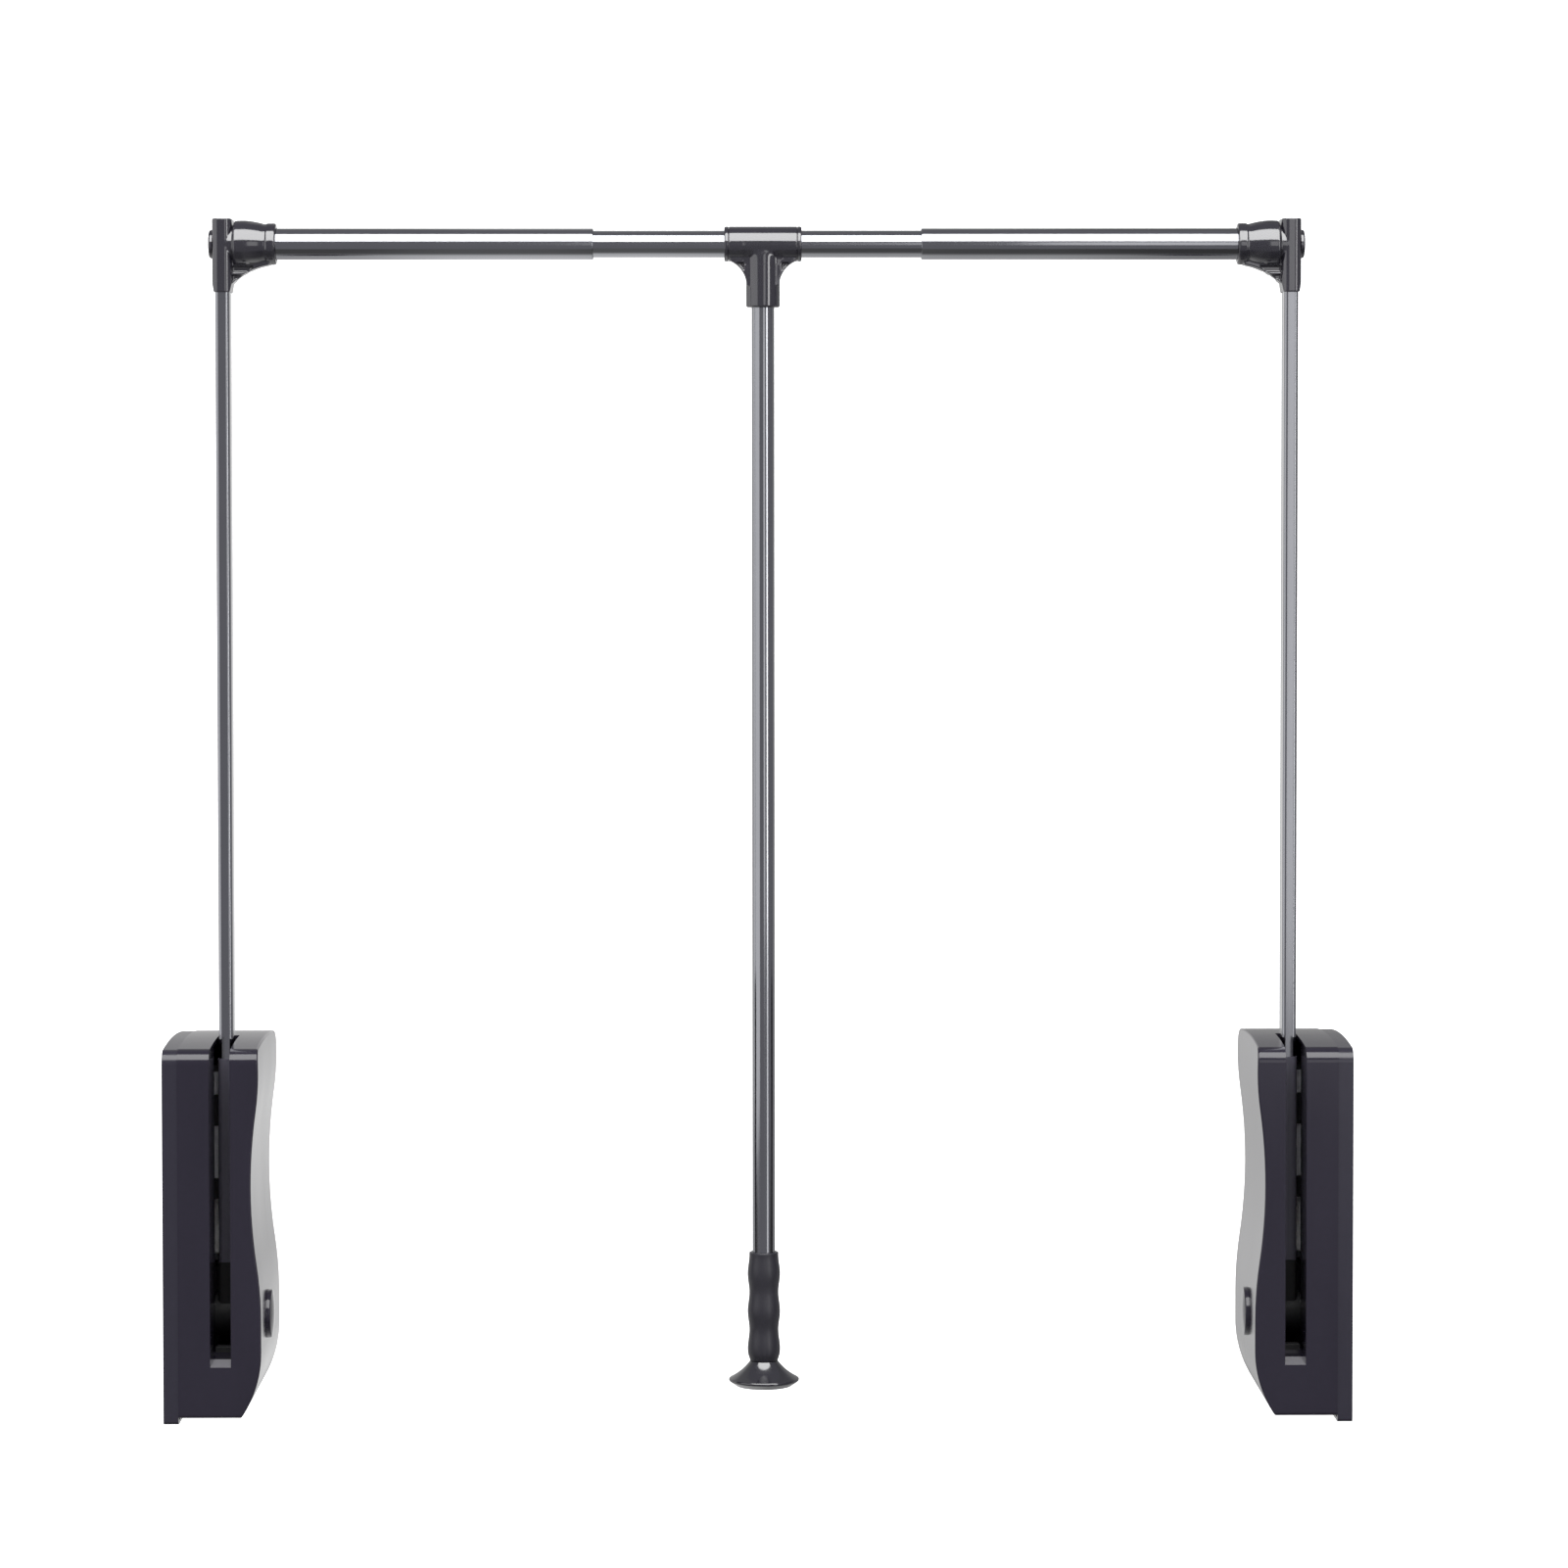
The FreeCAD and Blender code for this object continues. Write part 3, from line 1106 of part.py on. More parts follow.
def inner_tube():
    """Inner rail tube with the slot that limits the tee's turn."""
    body = start_body("inner_tube", "0", PIVOT_Y, "rail_height")
    walls = [("0", "0", "inner_radius"), ("0", "0", "inner_radius - inner_wall")]
    pad(body, "YZ", walls, "-inner_half", "inner_half")
    low = "(0 - swing_forward - swing_spare)"
    high = "(swing_back + swing_spare)"
    inside = "(inner_radius - inner_wall - 1)"
    outside = "(inner_radius + 1)"
    ring = [
        (f"{inside} * cos({high})", f"{inside} * sin({high})", inside, RIGHT),
        (f"{inside} * cos({low})", f"{inside} * sin({low})"),
        (f"{outside} * cos({low})", f"{outside} * sin({low})", outside, LEFT),
        (f"{outside} * cos({high})", f"{outside} * sin({high})"),
    ]
    slot_half = "stop_screw_radius + 0.3"
    cut(body, "YZ", [ring], f"tee_offset - ({slot_half})", f"tee_offset + {slot_half}")
    return body


def tee_connector():
    """Moulded tee: barrel round the rail, neck on the pull rod and hollowed gussets."""
    body = start_body("tee_connector", "tee_offset", PIVOT_Y, "rail_height")
    barrel_end = "(tee_half - tee_bush_flange)"
    pad(body, "YZ", [("0", "0", "tee_radius")], f"-{barrel_end}", barrel_end)
    pad(body, "XY", [("0", "0", "neck_radius")], "-neck_bottom", "-tee_radius / 2")
    dress(body, "Chamfer", "Size", "0.8",
          lambda edge, middle: abs(middle.z + number("neck_bottom")) < 0.01)
    start = "neck_radius - 0.4"
    gussets = [
        (f"-({start})", "-gusset_foot"),
        (start, "-gusset_foot", "gusset_radius", RIGHT),
        (f"gusset_half - tee_bush_flange", "-gusset_drop"),
        (f"gusset_half - tee_bush_flange", "-tee_radius / 2"),
        (f"tee_bush_flange - gusset_half", "-tee_radius / 2"),
        (f"tee_bush_flange - gusset_half", "-gusset_drop", "gusset_radius", RIGHT),
    ]
    pad(body, "XZ", [gussets], "-gusset_thick", "gusset_thick")
    for sign in (-1, 1):
        pocket = [
            (f"{sign} * (neck_radius + 1.2)", "-gusset_drop - 7.2"),
            (f"{sign} * (gusset_half - 6.8)", "-gusset_drop - 1.2"),
            (f"{sign} * (neck_radius + 1.2)", "-gusset_drop - 1.2"),
        ]
        cut(body, "XZ", [pocket], "-gusset_thick", "gusset_pocket - gusset_thick")
        cut(body, "XZ", [pocket], "gusset_thick - gusset_pocket", "gusset_thick")
    pad(body, "XZ", [("0", "0", "stop_boss_radius")], "tee_bore", "stop_boss_end")
    screw_seat = [("0", "-rod_screw_drop", "rod_screw_head + 0.6")]
    pad(body, "XZ", screw_seat, "rod_radius + 1", "neck_radius + 0.5")
    cut(body, "YZ", [("0", "0", "tee_bore")], f"-{barrel_end}", barrel_end)
    cut(body, "XY", [("0", "0", "rod_radius + fit")], "-neck_bottom", "-tee_bore")
    cut(body, "XZ", [("0", "0", "stop_screw_radius + fit")], "tee_bore - 1", "stop_boss_end")
    hole = [("0", "-rod_screw_drop", "rod_screw_radius + fit")]
    cut(body, "XZ", hole, "rod_radius - 1", "neck_radius + 0.5")
    return body


def tee_bushes():
    """Flanged glide bushes in both ends of the tee."""
    body = start_body("tee_bushes", "tee_offset", PIVOT_Y, "rail_height")
    bore = "inner_radius + fit"
    flange = "tee_half - tee_bush_flange"
    loops = []
    for sign, side in ((-1, LEFT), (1, RIGHT)):
        loops.append([
            (f"{sign} * ({flange} - tee_bush_length)", bore),
            (f"{sign} * ({flange} - tee_bush_length)", "tee_bore - fit"),
            (f"{sign} * ({flange})", "tee_bore - fit"),
            (f"{sign} * ({flange})", "tee_radius"),
            (f"{sign} * (tee_half - tee_bush_round)", "tee_radius", "tee_bush_round", side),
            (f"{sign} * tee_half", "tee_radius - tee_bush_round"),
            (f"{sign} * tee_half", bore),
        ])
    turn(body, loops, "X")
    return body


def stop_screw():
    """Grub screw whose tip runs in the inner tube's slot."""
    body = start_body("tee_stop_screw", "tee_offset", PIVOT_Y, "rail_height")
    pad(body, "XZ", [("0", "0", "stop_screw_radius")], "stop_screw_tip", "stop_boss_end - 0.2")
    cut(body, "XZ", [hexagon("stop_screw_radius / 2")], "stop_boss_end - 2", "stop_boss_end - 0.2")
    return body


def pull_rod():
    """Steel tube from the tee to the grip."""
    body = start_body("pull_rod", "tee_offset", PIVOT_Y, "rail_height")
    walls = [("0", "0", "rod_radius"), ("0", "0", "rod_radius - rod_wall")]
    pad(body, "XY", walls, "grip_bottom + rod_spare - rail_height", "-rod_top")
    hole = [("0", "-rod_screw_drop", "rod_screw_radius + fit")]
    cut(body, "XZ", hole, "0", "rod_radius")
    return body


def rod_screw():
    """Pan-head screw that holds the pull rod in the tee's neck."""
    body = start_body("pull_rod_screw", "tee_offset", PIVOT_Y, "rail_height")
    place = ("0", "-rod_screw_drop")
    seat = "neck_radius + 0.5"
    pad(body, "XZ", [place + ("rod_screw_radius",)], "rod_radius - rod_wall - 1", f"{seat} + 0.5")
    pad(body, "XZ", [place + ("rod_screw_head",)], seat, f"{seat} + rod_screw_head_height")
    dress(body, "Fillet", "Radius", "rod_screw_head_height / 2",
          lambda edge, middle: abs(middle.y - number(f"{seat} + rod_screw_head_height")) < 0.01)
    return body


def grip():
    """Handle with three finger bulges, pushed over the pull rod."""
    body = start_body("grip", "tee_offset", PIVOT_Y, "grip_bottom")
    height = "(grip_top - grip_bottom)"
    outline = [
        ("rod_radius + fit", "0"),
        ("grip_waist", "0", "bulge_radius", LEFT),
        ("grip_waist", f"{height} * 0.315", "bulge_radius", LEFT),
        ("grip_waist", f"{height} * 0.63", "bulge_radius", LEFT),
        ("grip_end_radius", f"{height} - 0.8", "0.8", LEFT),
        ("grip_end_radius - 0.8", height),
        ("rod_radius + fit", height),
    ]
    turn(body, [outline], "Z")

    def at_waist(edge, middle):
        height_now = number(height)
        place = middle.z
        return edge.Closed and min(abs(place - 0.315 * height_now), abs(place - 0.63 * height_now)) < 0.01
    dress(body, "Fillet", "Radius", "waist_blend", at_waist)
    return body


def grip_foot():
    """Flared foot under the grip, plugged into the pull rod."""
    body = start_body("grip_foot", "tee_offset", PIVOT_Y, "0")
    spigot_top = "grip_bottom + foot_spigot"
    outline = [
        ("0", "foot_bottom"),
        ("foot_rim_radius * 0.8", "foot_bottom"),
        ("foot_rim_radius - 0.6", "foot_rim_height - 2.4", "1.4", LEFT),
        ("foot_rim_radius - 0.6", "foot_rim_height", "foot_flare", RIGHT),
        ("foot_radius_top", "grip_bottom"),
        ("rod_radius - rod_wall - fit", "grip_bottom"),
        ("rod_radius - rod_wall - fit", f"{spigot_top} - 1"),
        ("rod_radius - rod_wall - 1", spigot_top),
        ("0", spigot_top),
    ]
    turn(body, [outline], "Z")
    return body


# ---------------------------------------------------------------- build

def mirror_right():
    """The right side, as mirror images of the left side's pieces."""
    for piece in list(pieces):
        twin = doc.addObject("Part::Mirroring", "Mirror")
        twin.Label = piece.Label.replace("left_", "right_")
        twin.Source = piece
        twin.Base = Vector(0, 0, 0)
        twin.Normal = Vector(1, 0, 0)
        pieces.append(twin)


def check():
    """Every object has to be sound, and every feature has to change its body the right way."""
    for item in doc.Objects:
        if "Invalid" in item.State or "Error" in item.State:
            raise RuntimeError(f"{item.Name} of {item.Label} failed: {item.State}")
    removing = ("PartDesign::Pocket", "PartDesign::Groove")
    adding = ("PartDesign::Pad", "PartDesign::Revolution", "PartDesign::LinearPattern")
    for item in doc.Objects:
        if item.TypeId not in removing + adding or item.BaseFeature is None:
            continue
        change = item.Shape.Volume - item.BaseFeature.Shape.Volume
        if (change < 0) != (item.TypeId in removing) or abs(change) < 0.001:
            raise RuntimeError(f"{item.Name} changes its body by {change:.3f}")
    for piece in pieces:
        shape = piece.Shape
        if shape.isNull() or not shape.isValid() or shape.Volume <= 0:
            raise RuntimeError(f"{piece.Label} has no valid shape")


def build():
    for make in (wall_plate, casing, case_screws, pivot_pin, pivot_cap, lever, lever_bushes, pinion,
                 pinion_dowels, rack, rack_guide, strut_cylinder, strut_guide, strut_rod, strut_holder,
                 arm_stop, lower_buffer, arm, arm_cover, arm_rivets, corner_connector, corner_bolt,
                 corner_cap, tube_plug, outer_tube, rail_glide):
        make()
    mirror_right()
    for make in (inner_tube, tee_connector, tee_bushes, stop_screw, pull_rod, rod_screw, grip, grip_foot):
        make()
    doc.recompute()
    check()
    os.makedirs("parts", exist_ok=True)
    for piece in pieces:
        piece.Shape.exportStep(f"parts/{piece.Label}.step")


build()
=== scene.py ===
import json
import math

import bmesh
import bpy
import numpy as np
from bpy.props import FloatProperty, FloatVectorProperty, PointerProperty
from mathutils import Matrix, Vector


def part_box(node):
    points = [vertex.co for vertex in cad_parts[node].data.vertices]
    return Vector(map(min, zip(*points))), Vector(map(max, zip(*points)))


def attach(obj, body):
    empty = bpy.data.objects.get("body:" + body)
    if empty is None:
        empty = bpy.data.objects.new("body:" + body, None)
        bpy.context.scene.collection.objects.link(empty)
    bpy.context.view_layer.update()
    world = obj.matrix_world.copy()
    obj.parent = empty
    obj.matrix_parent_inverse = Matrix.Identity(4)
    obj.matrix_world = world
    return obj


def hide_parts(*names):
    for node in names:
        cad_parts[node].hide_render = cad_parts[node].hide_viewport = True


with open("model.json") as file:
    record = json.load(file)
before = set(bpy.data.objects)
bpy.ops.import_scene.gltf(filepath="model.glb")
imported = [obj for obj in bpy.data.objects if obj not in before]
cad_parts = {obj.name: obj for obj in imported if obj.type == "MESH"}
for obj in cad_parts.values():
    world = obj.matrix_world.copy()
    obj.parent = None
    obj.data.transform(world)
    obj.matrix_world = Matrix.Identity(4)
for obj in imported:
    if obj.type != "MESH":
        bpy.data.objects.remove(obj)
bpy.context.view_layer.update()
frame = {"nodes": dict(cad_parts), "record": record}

bl_info = {
    "name": "Pull-down Closet Rod",
    "version": (1, 0, 0),
    "blender": (4, 5, 0),
    "location": "3D View > Sidebar > Closet Rod",
    "description": "Looks for a telescopic closet rod on swinging arms",
    "category": "Add Mesh",
}

MM = 0.001
SIDES = (("left", 1), ("right", -1))  # each side with the way from it to the middle
ROUND_POINTS = 96  # points round a turned piece


# ---------------------------------------------------------------- places from the CAD nodes

def middle(name):
    """Middle of a CAD node's box."""
    low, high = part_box(name)
    return (low + high) / 2


def reach(name):
    """Size of a CAD node's box."""
    low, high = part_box(name)
    return high - low


RAIL = middle("inner_tube")
ROD = middle("pull_rod")
INNER_TUBE_RADIUS = reach("inner_tube").z / 2


# ---------------------------------------------------------------- surfaces

def surface(name, grid, wrap_rows=False, wrap_columns=True, sharp=35):
    """A mesh over a grid of points. Each quad joins (i, j), (i, j+1), (i+1, j+1) and (i+1, j).
    Points that fall together at a pole are merged, and the faces are turned outwards. Edges
    that bend by more than sharp degrees stay sharp."""
    rows, columns = grid.shape[:2]
    index = np.arange(rows * columns).reshape(rows, columns)
    if wrap_columns:
        index = np.hstack([index, index[:, :1]])
    if wrap_rows:
        index = np.vstack([index, index[:1]])
    quads = np.stack([index[:-1, :-1], index[:-1, 1:], index[1:, 1:], index[1:, :-1]], axis=-1)
    mesh = bpy.data.meshes.new(name)
    mesh.from_pydata(grid.reshape(-1, 3).tolist(), [], quads.reshape(-1, 4).tolist())
    shape = bmesh.new()
    shape.from_mesh(mesh)
    bmesh.ops.remove_doubles(shape, verts=shape.verts, dist=2e-6)
    bmesh.ops.dissolve_degenerate(shape, edges=shape.edges, dist=1e-7)
    bmesh.ops.recalc_face_normals(shape, faces=shape.faces)
    shape.to_mesh(mesh)
    shape.free()
    mesh.shade_smooth()
    mesh.set_sharp_from_angle(angle=math.radians(sharp))
    piece = bpy.data.objects.new(name, mesh)
    bpy.context.scene.collection.objects.link(piece)
    return piece


def rounded(points, radius, steps=6):
    """An open outline with its inner corners rounded. Each corner becomes a quadratic curve:
    (1 - s) squared times its start, plus 2 s (1 - s) times the corner, plus s squared times
    its end, where s runs from 0 to 1."""
    points = np.asarray(points, float)
    radii = np.broadcast_to(radius, len(points))
    result = [points[:1]]
    share = np.linspace(0, 1, steps + 1)[:, None]
    for before, corner, after, size in zip(points[:-2], points[1:-1], points[2:], radii[1:-1]):
        way_in, way_out = before - corner, after - corner
        length_in, length_out = np.linalg.norm(way_in), np.linalg.norm(way_out)
        size = min(size, length_in * 0.49, length_out * 0.49)
        if size <= 0:
            result.append(corner[None])
            continue
        first = corner + way_in / length_in * size
        last = corner + way_out / length_out * size
        result.append((1 - share) ** 2 * first + 2 * share * (1 - share) * corner
                      + share ** 2 * last)
    result.append(points[-1:])
    return np.vstack(result)


def turned(name, outline, place, axis="z", sharp=35):
    """A turned piece. Each outline point (along, radius) goes round the axis through the place,
    to place + along * axis + radius * (cosine, sine) of the angle."""
    along, radius = np.asarray(outline, float).T[:, :, None]
    angle = np.linspace(0, 2 * np.pi, ROUND_POINTS, endpoint=False)[None]
    first, second, third = along + 0 * angle, radius * np.cos(angle), radius * np.sin(angle)
    order = (first, second, third) if axis == "x" else (second, third, first)
    return surface(name, np.stack(order, axis=-1) + np.array(place), sharp=sharp)


def rounded_section(half_x, half_y, corner, steps=8):
    """A rounded rectangle: four quarter circles about the corner centres."""
    turn = np.linspace(0, np.pi / 2, steps + 1)
    parts = []
    for quarter, (side_x, side_y) in enumerate(((1, 1), (-1, 1), (-1, -1), (1, -1))):
        angle = turn + quarter * np.pi / 2
        parts.append(np.column_stack([
            side_x * (half_x - corner) + corner * np.cos(angle),
            side_y * (half_y - corner) + corner * np.sin(angle),
        ]))
    return np.vstack(parts)


def sleeve(name, outer, inner, heights, place):
    """A hollow bar: the outer section from bottom to top, then the inner one back, closed."""
    low, high = heights
    sections = [(outer, low), (outer, high), (inner, high), (inner, low)]
    grid = np.stack([np.column_stack([ring, np.full(len(ring), height)])
                     for ring, height in sections])
    return surface(name, grid + np.array(place), wrap_rows=True)


def soft_copy(part, name, voxel=0.45 * MM, rounds=8):
    """A copy of a CAD node with moulded edges: merged, remeshed in even cells and smoothed."""
    mesh = frame["nodes"][part].data.copy()
    piece = bpy.data.objects.new(name, mesh)
    bpy.context.scene.collection.objects.link(piece)
    shape = bmesh.new()
    shape.from_mesh(mesh)
    bmesh.ops.remove_doubles(shape, verts=shape.verts, dist=1e-6)
    shape.to_mesh(mesh)
    shape.free()
    cells = piece.modifiers.new("Cells", "REMESH")
    cells.mode = "VOXEL"
    cells.voxel_size = voxel
    cells.use_smooth_shade = True
    soften = piece.modifiers.new("Soften", "SMOOTH")
    soften.factor = 0.5
    soften.iterations = rounds
    graph = bpy.context.evaluated_depsgraph_get()
    result = bpy.data.meshes.new_from_object(piece.evaluated_get(graph))
    piece.modifiers.clear()
    piece.data = result
    piece.data.name = name
    result.shade_smooth()
    return piece


# ---------------------------------------------------------------- materials

def srgb(code):
    """Linear colour of a hex code such as #26252b."""
    parts = [int(code[index:index + 2], 16) / 255 for index in (1, 3, 5)]
    return tuple(part / 12.92 if part <= 0.04045 else ((part + 0.055) / 1.055) ** 2.4
                 for part in parts)


def shade(base, factor=1.0, lift=0.0):
    """A colour made lighter or darker, with the alpha that a socket wants."""
    return (*(part * factor + lift for part in base), 1)


def node(tree, kind, inputs=None, **settings):
    """Add one shader node. An input is a value, another node's output or a whole node, which
    stands for its first output."""
    item = tree.nodes.new(f"ShaderNode{kind}")
    for name, value in settings.items():
        setattr(item, name, value)
    for name, value in (inputs or {}).items():
        if isinstance(value, bpy.types.Node):
            value = value.outputs[0]
        if isinstance(value, bpy.types.NodeSocket):
            tree.links.new(value, item.inputs[name])
        else:
            item.inputs[name].default_value = value
    return item


def new_material(name):
    """An empty material and its node tree."""
    material = bpy.data.materials.new(name)
    material.use_nodes = True
    tree = material.node_tree
    tree.nodes.clear()
    return material, tree


def grain(tree, size, detail, stretch=(1, 1, 1)):
    """Noise on object coordinates with cells of this size, longer where a stretch is small."""
    place = node(tree, "TexCoord").outputs["Object"]
    mapping = node(tree, "Mapping", {"Vector": place, "Scale": stretch})
    return node(tree, "TexNoise", {"Vector": mapping, "Scale": 1 / size,
                                   "Detail": detail}).outputs["Fac"]


def moulded_plastic(name, base, roughness, cell, depth, shine=0.5, index=1.5):
    """Moulded plastic: the mould's sparked grain gives a faint texture, and flow marks 42 mm
    apart make tone and gloss slightly uneven. The real grain is about 0.1 mm wide, and it is
    drawn coarser so that it shows."""
    material, tree = new_material(name)
    flow = grain(tree, 125 / 3 * MM, 4, (1, 1, 0.35))
    bump = node(tree, "Bump", {"Height": grain(tree, cell, 2), "Strength": 0.25,
                               "Distance": depth})
    shader = node(tree, "BsdfPrincipled", {
        "Base Color": node(tree, "Mix", {0: flow, 6: shade(base), 7: shade(base, 1.35, 0.002)},
                           data_type="RGBA").outputs[2],
        "Roughness": node(tree, "MapRange", {"Value": flow, "To Min": roughness * 0.8,
                                             "To Max": roughness * 1.2}),
        "IOR": index,
        "Specular IOR Level": shine,
        "Normal": bump,
    })
    node(tree, "OutputMaterial", {"Surface": shader})
    return material


def drawn_tube(name, base, roughness, stretch):
    """Chromium over drawn steel tube: die lines run along the tube, and a slight haze varies
    over 63 mm. The real lines are about 0.1 mm apart, and they are drawn 1.1 mm apart so that
    they show."""
    material, tree = new_material(name)
    haze = grain(tree, 62.5 * MM, 3)
    lines = grain(tree, 10 / 9 * MM, 2, stretch)
    bump = node(tree, "Bump", {"Height": lines, "Strength": 0.03, "Distance": 0.01 * MM})
    shader = node(tree, "BsdfPrincipled", {
        "Base Color": node(tree, "Mix", {0: haze, 6: shade(base, 0.9), 7: shade(base)},
                           data_type="RGBA").outputs[2],
        "Metallic": 1.0,
        "Roughness": node(tree, "MapRange", {"Value": haze, "To Min": roughness * 0.8,
                                             "To Max": roughness * 1.25}),
        "Normal": bump,
    })
    node(tree, "OutputMaterial", {"Surface": shader})
    return material


def worked_metal(name, base, roughness, mottle=40 / 3 * MM, metallic=1.0, strength=0.2):
    """Turned, cast, plated or enamelled metal: a mottled tone, and dents that are 24 times
    finer. Both are drawn coarser than the marks of real tools so that they show."""
    material, tree = new_material(name)
    tone = grain(tree, mottle, 4)
    bump = node(tree, "Bump", {"Height": grain(tree, mottle / 24, 2), "Strength": strength,
                               "Distance": 0.04 * MM})
    shader = node(tree, "BsdfPrincipled", {
        "Base Color": node(tree, "Mix", {0: tone, 6: shade(base, 0.72), 7: shade(base)},
                           data_type="RGBA").outputs[2],
        "Metallic": metallic,
        "Roughness": node(tree, "MapRange", {"Value": tone, "To Min": roughness * 0.75,
                                             "To Max": roughness * 1.3}),
        "Normal": bump,
    })
    node(tree, "OutputMaterial", {"Surface": shader})
    return material


def soft_rubber(name, base, roughness):
    """Rubber: a soft sheen, dust that varies over 25 mm, and fine pores, which are drawn 0.4 mm
    apart so that they show."""
    material, tree = new_material(name)
    dust = grain(tree, 25 * MM, 4)
    bump = node(tree, "Bump", {"Height": grain(tree, MM / 2.6, 2), "Strength": 0.3,
                               "Distance": 0.06 * MM})
    shader = node(tree, "BsdfPrincipled", {
        "Base Color": node(tree, "Mix", {0: dust, 6: shade(base), 7: shade(base, 1.5, 0.004)},
                           data_type="RGBA").outputs[2],
        "Roughness": node(tree, "MapRange", {"Value": dust, "To Min": roughness * 0.85,
                                             "To Max": min(1, roughness * 1.15)}),
        "Normal": bump,
    })
    node(tree, "OutputMaterial", {"Surface": shader})
    return material


def make_finishes(colours):
    """Every finish of the lift. Most are named for the record's material slot."""
    chrome = tuple(colours.chrome)
    return {
        # glossy black shells that mirror the backdrop at a flat angle
        "casing_plastic": moulded_plastic(
            "Black ABS casing", tuple(colours.casing), roughness=0.14, cell=2 / 3 * MM,
            depth=0.006 * MM, shine=0.6),
        # the plates come from another mould: a trace lighter and duller
        "plate_plastic": moulded_plastic(
            "Black ABS plate", srgb("#25232d"), roughness=0.22, cell=2 / 3 * MM,
            depth=0.006 * MM, shine=0.6),
        # the arm's sleeve is black ABS painted lighter grey against the shade deep in the slot,
        # so it reads as dark grey there
        "shade_lifted_cover": moulded_plastic(
            "Black ABS cover painted lighter against slot shade", srgb("#4e4c57"), roughness=0.5, cell=5 / 6 * MM,
            depth=0.02 * MM),
        # polished black with a hard, bright highlight
        "connector_plastic": moulded_plastic(
            "Black nylon connector", tuple(colours.connector), roughness=0.13,
            cell=10 / 9 * MM, depth=0.002 * MM, shine=0.9, index=1.7),
        # cream white and satin, nearly hidden in the fits
        "bush_plastic": moulded_plastic(
            "Natural acetal", srgb("#d9d8d0"), roughness=0.4, cell=5 / 6 * MM,
            depth=0.03 * MM),
        # dull black, seen only deep in the slot
        "guide_plastic": moulded_plastic(
            "Black nylon guide", srgb("#1c1c1f"), roughness=0.5, cell=5 / 6 * MM,
            depth=0.04 * MM),
        # dark grey and silky, with a broad soft highlight
        "grip_rubber": soft_rubber("Soft grip", tuple(colours.grip), roughness=0.38),
        # flat black pads
        "buffer_rubber": soft_rubber("Black rubber", srgb("#1a1a1b"), roughness=0.7),
        # dark mirror bands along upright tubes, whose die lines run along Z
        "tube_chrome": drawn_tube(
            "Dark chromium tube", chrome, roughness=0.12, stretch=(1, 1, 0.004)),
        # the same bands along the rail, whose die lines run along X
        "rail_chrome": drawn_tube(
            "Dark chromium rail", chrome, roughness=0.12, stretch=(0.004, 1, 1)),
        # the steel strut painted pale grey with no metal shine: a painted sheen that shows as a
        # pale streak behind the arm
        "strut_steel": worked_metal(
            "Steel strut painted pale as a sheen", srgb("#e8e9ee"), roughness=0.4, metallic=0.0,
            strength=0.1),
        # the steel fitting painted white: a painted glint, the brightest spot in the slot
        "strut_rod": worked_metal(
            "Steel strut fitting painted white as a glint", srgb("#ffffff"), roughness=0.3, metallic=0.0,
            strength=0.1),
        # bluish grey screw heads with a soft shine
        "zinc_steel": worked_metal("Zinc plated steel", srgb("#b9bcc0"), roughness=0.32),
        # bright smooth pins
        "pin_steel": worked_metal("Ground steel", srgb("#f0f0f2"), roughness=0.32),
        # dull grey teeth, dark with grease
        "gear_steel": worked_metal("Greased sintered steel", srgb("#77787a"), roughness=0.38),
        # the coat hides the metal: rough black with little shine
        "lever_zinc": worked_metal(
            "Black coated zinc casting", srgb("#101012"), roughness=0.6, mottle=8 * MM,
            metallic=0.0, strength=0.4),
    }


FINISHES = {}
SLOTS = {part["node"]: part["material_slot"] for part in frame["record"]["subparts"]}
# CAD nodes whose finish isn't the one that their slot names
OWN_FINISHES = {
    "left_arm_cover": "shade_lifted_cover",
    "right_arm_cover": "shade_lifted_cover",
    "left_wall_plate": "plate_plastic",
    "right_wall_plate": "plate_plastic",
    "inner_tube": "rail_chrome",
}


def finish_of(piece, finish, slot=None):
    """Give a piece its finish. The slot that it is given is not used."""
    piece.data.materials.clear()
    piece.data.materials.append(FINISHES[finish])
    slot or finish


def stands_for(piece, body, *parts):
    """Let a piece ride a body and replace CAD nodes."""
    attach(piece, body)
    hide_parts(*parts)


# ---------------------------------------------------------------- sizes and colours

class LiftTubes(bpy.types.PropertyGroup):
    arm_wall: FloatProperty(
        name="Arm wall", description="Wall of the arm's tube",
        default=0.0015, min=0.0005, unit="LENGTH")
    arm_corner: FloatProperty(
        name="Arm corner", description="Rounded corners of the arm's tube",
        default=0.0026, min=0.0005, unit="LENGTH")
    tube_wall: FloatProperty(
        name="Rail wall", description="Wall of the outer rail tube",
        default=0.0012, min=0.0005, unit="LENGTH")
    rolled_mouth: FloatProperty(
        name="Rolled mouth", description="Length of the rolled-in mouth",
        default=0.003, min=0.001, unit="LENGTH")


class LiftGrip(bpy.types.PropertyGroup):
    waist: FloatProperty(
        name="Waist radius", description="Radius between the bulges",
        default=0.0103, min=0.0085, unit="LENGTH")
    bulge: FloatProperty(
        name="Bulge radius", description="Largest radius of a bulge",
        default=0.0115, min=0.009, unit="LENGTH")
    pitch: FloatProperty(
        name="Bulge pitch", description="From one bulge to the next",
        default=0.0267, min=0.01, unit="LENGTH")
    foot_end: FloatProperty(
        name="Lower end", description="Radius of the grip where it meets the foot",
        default=0.0098, min=0.0085, unit="LENGTH")


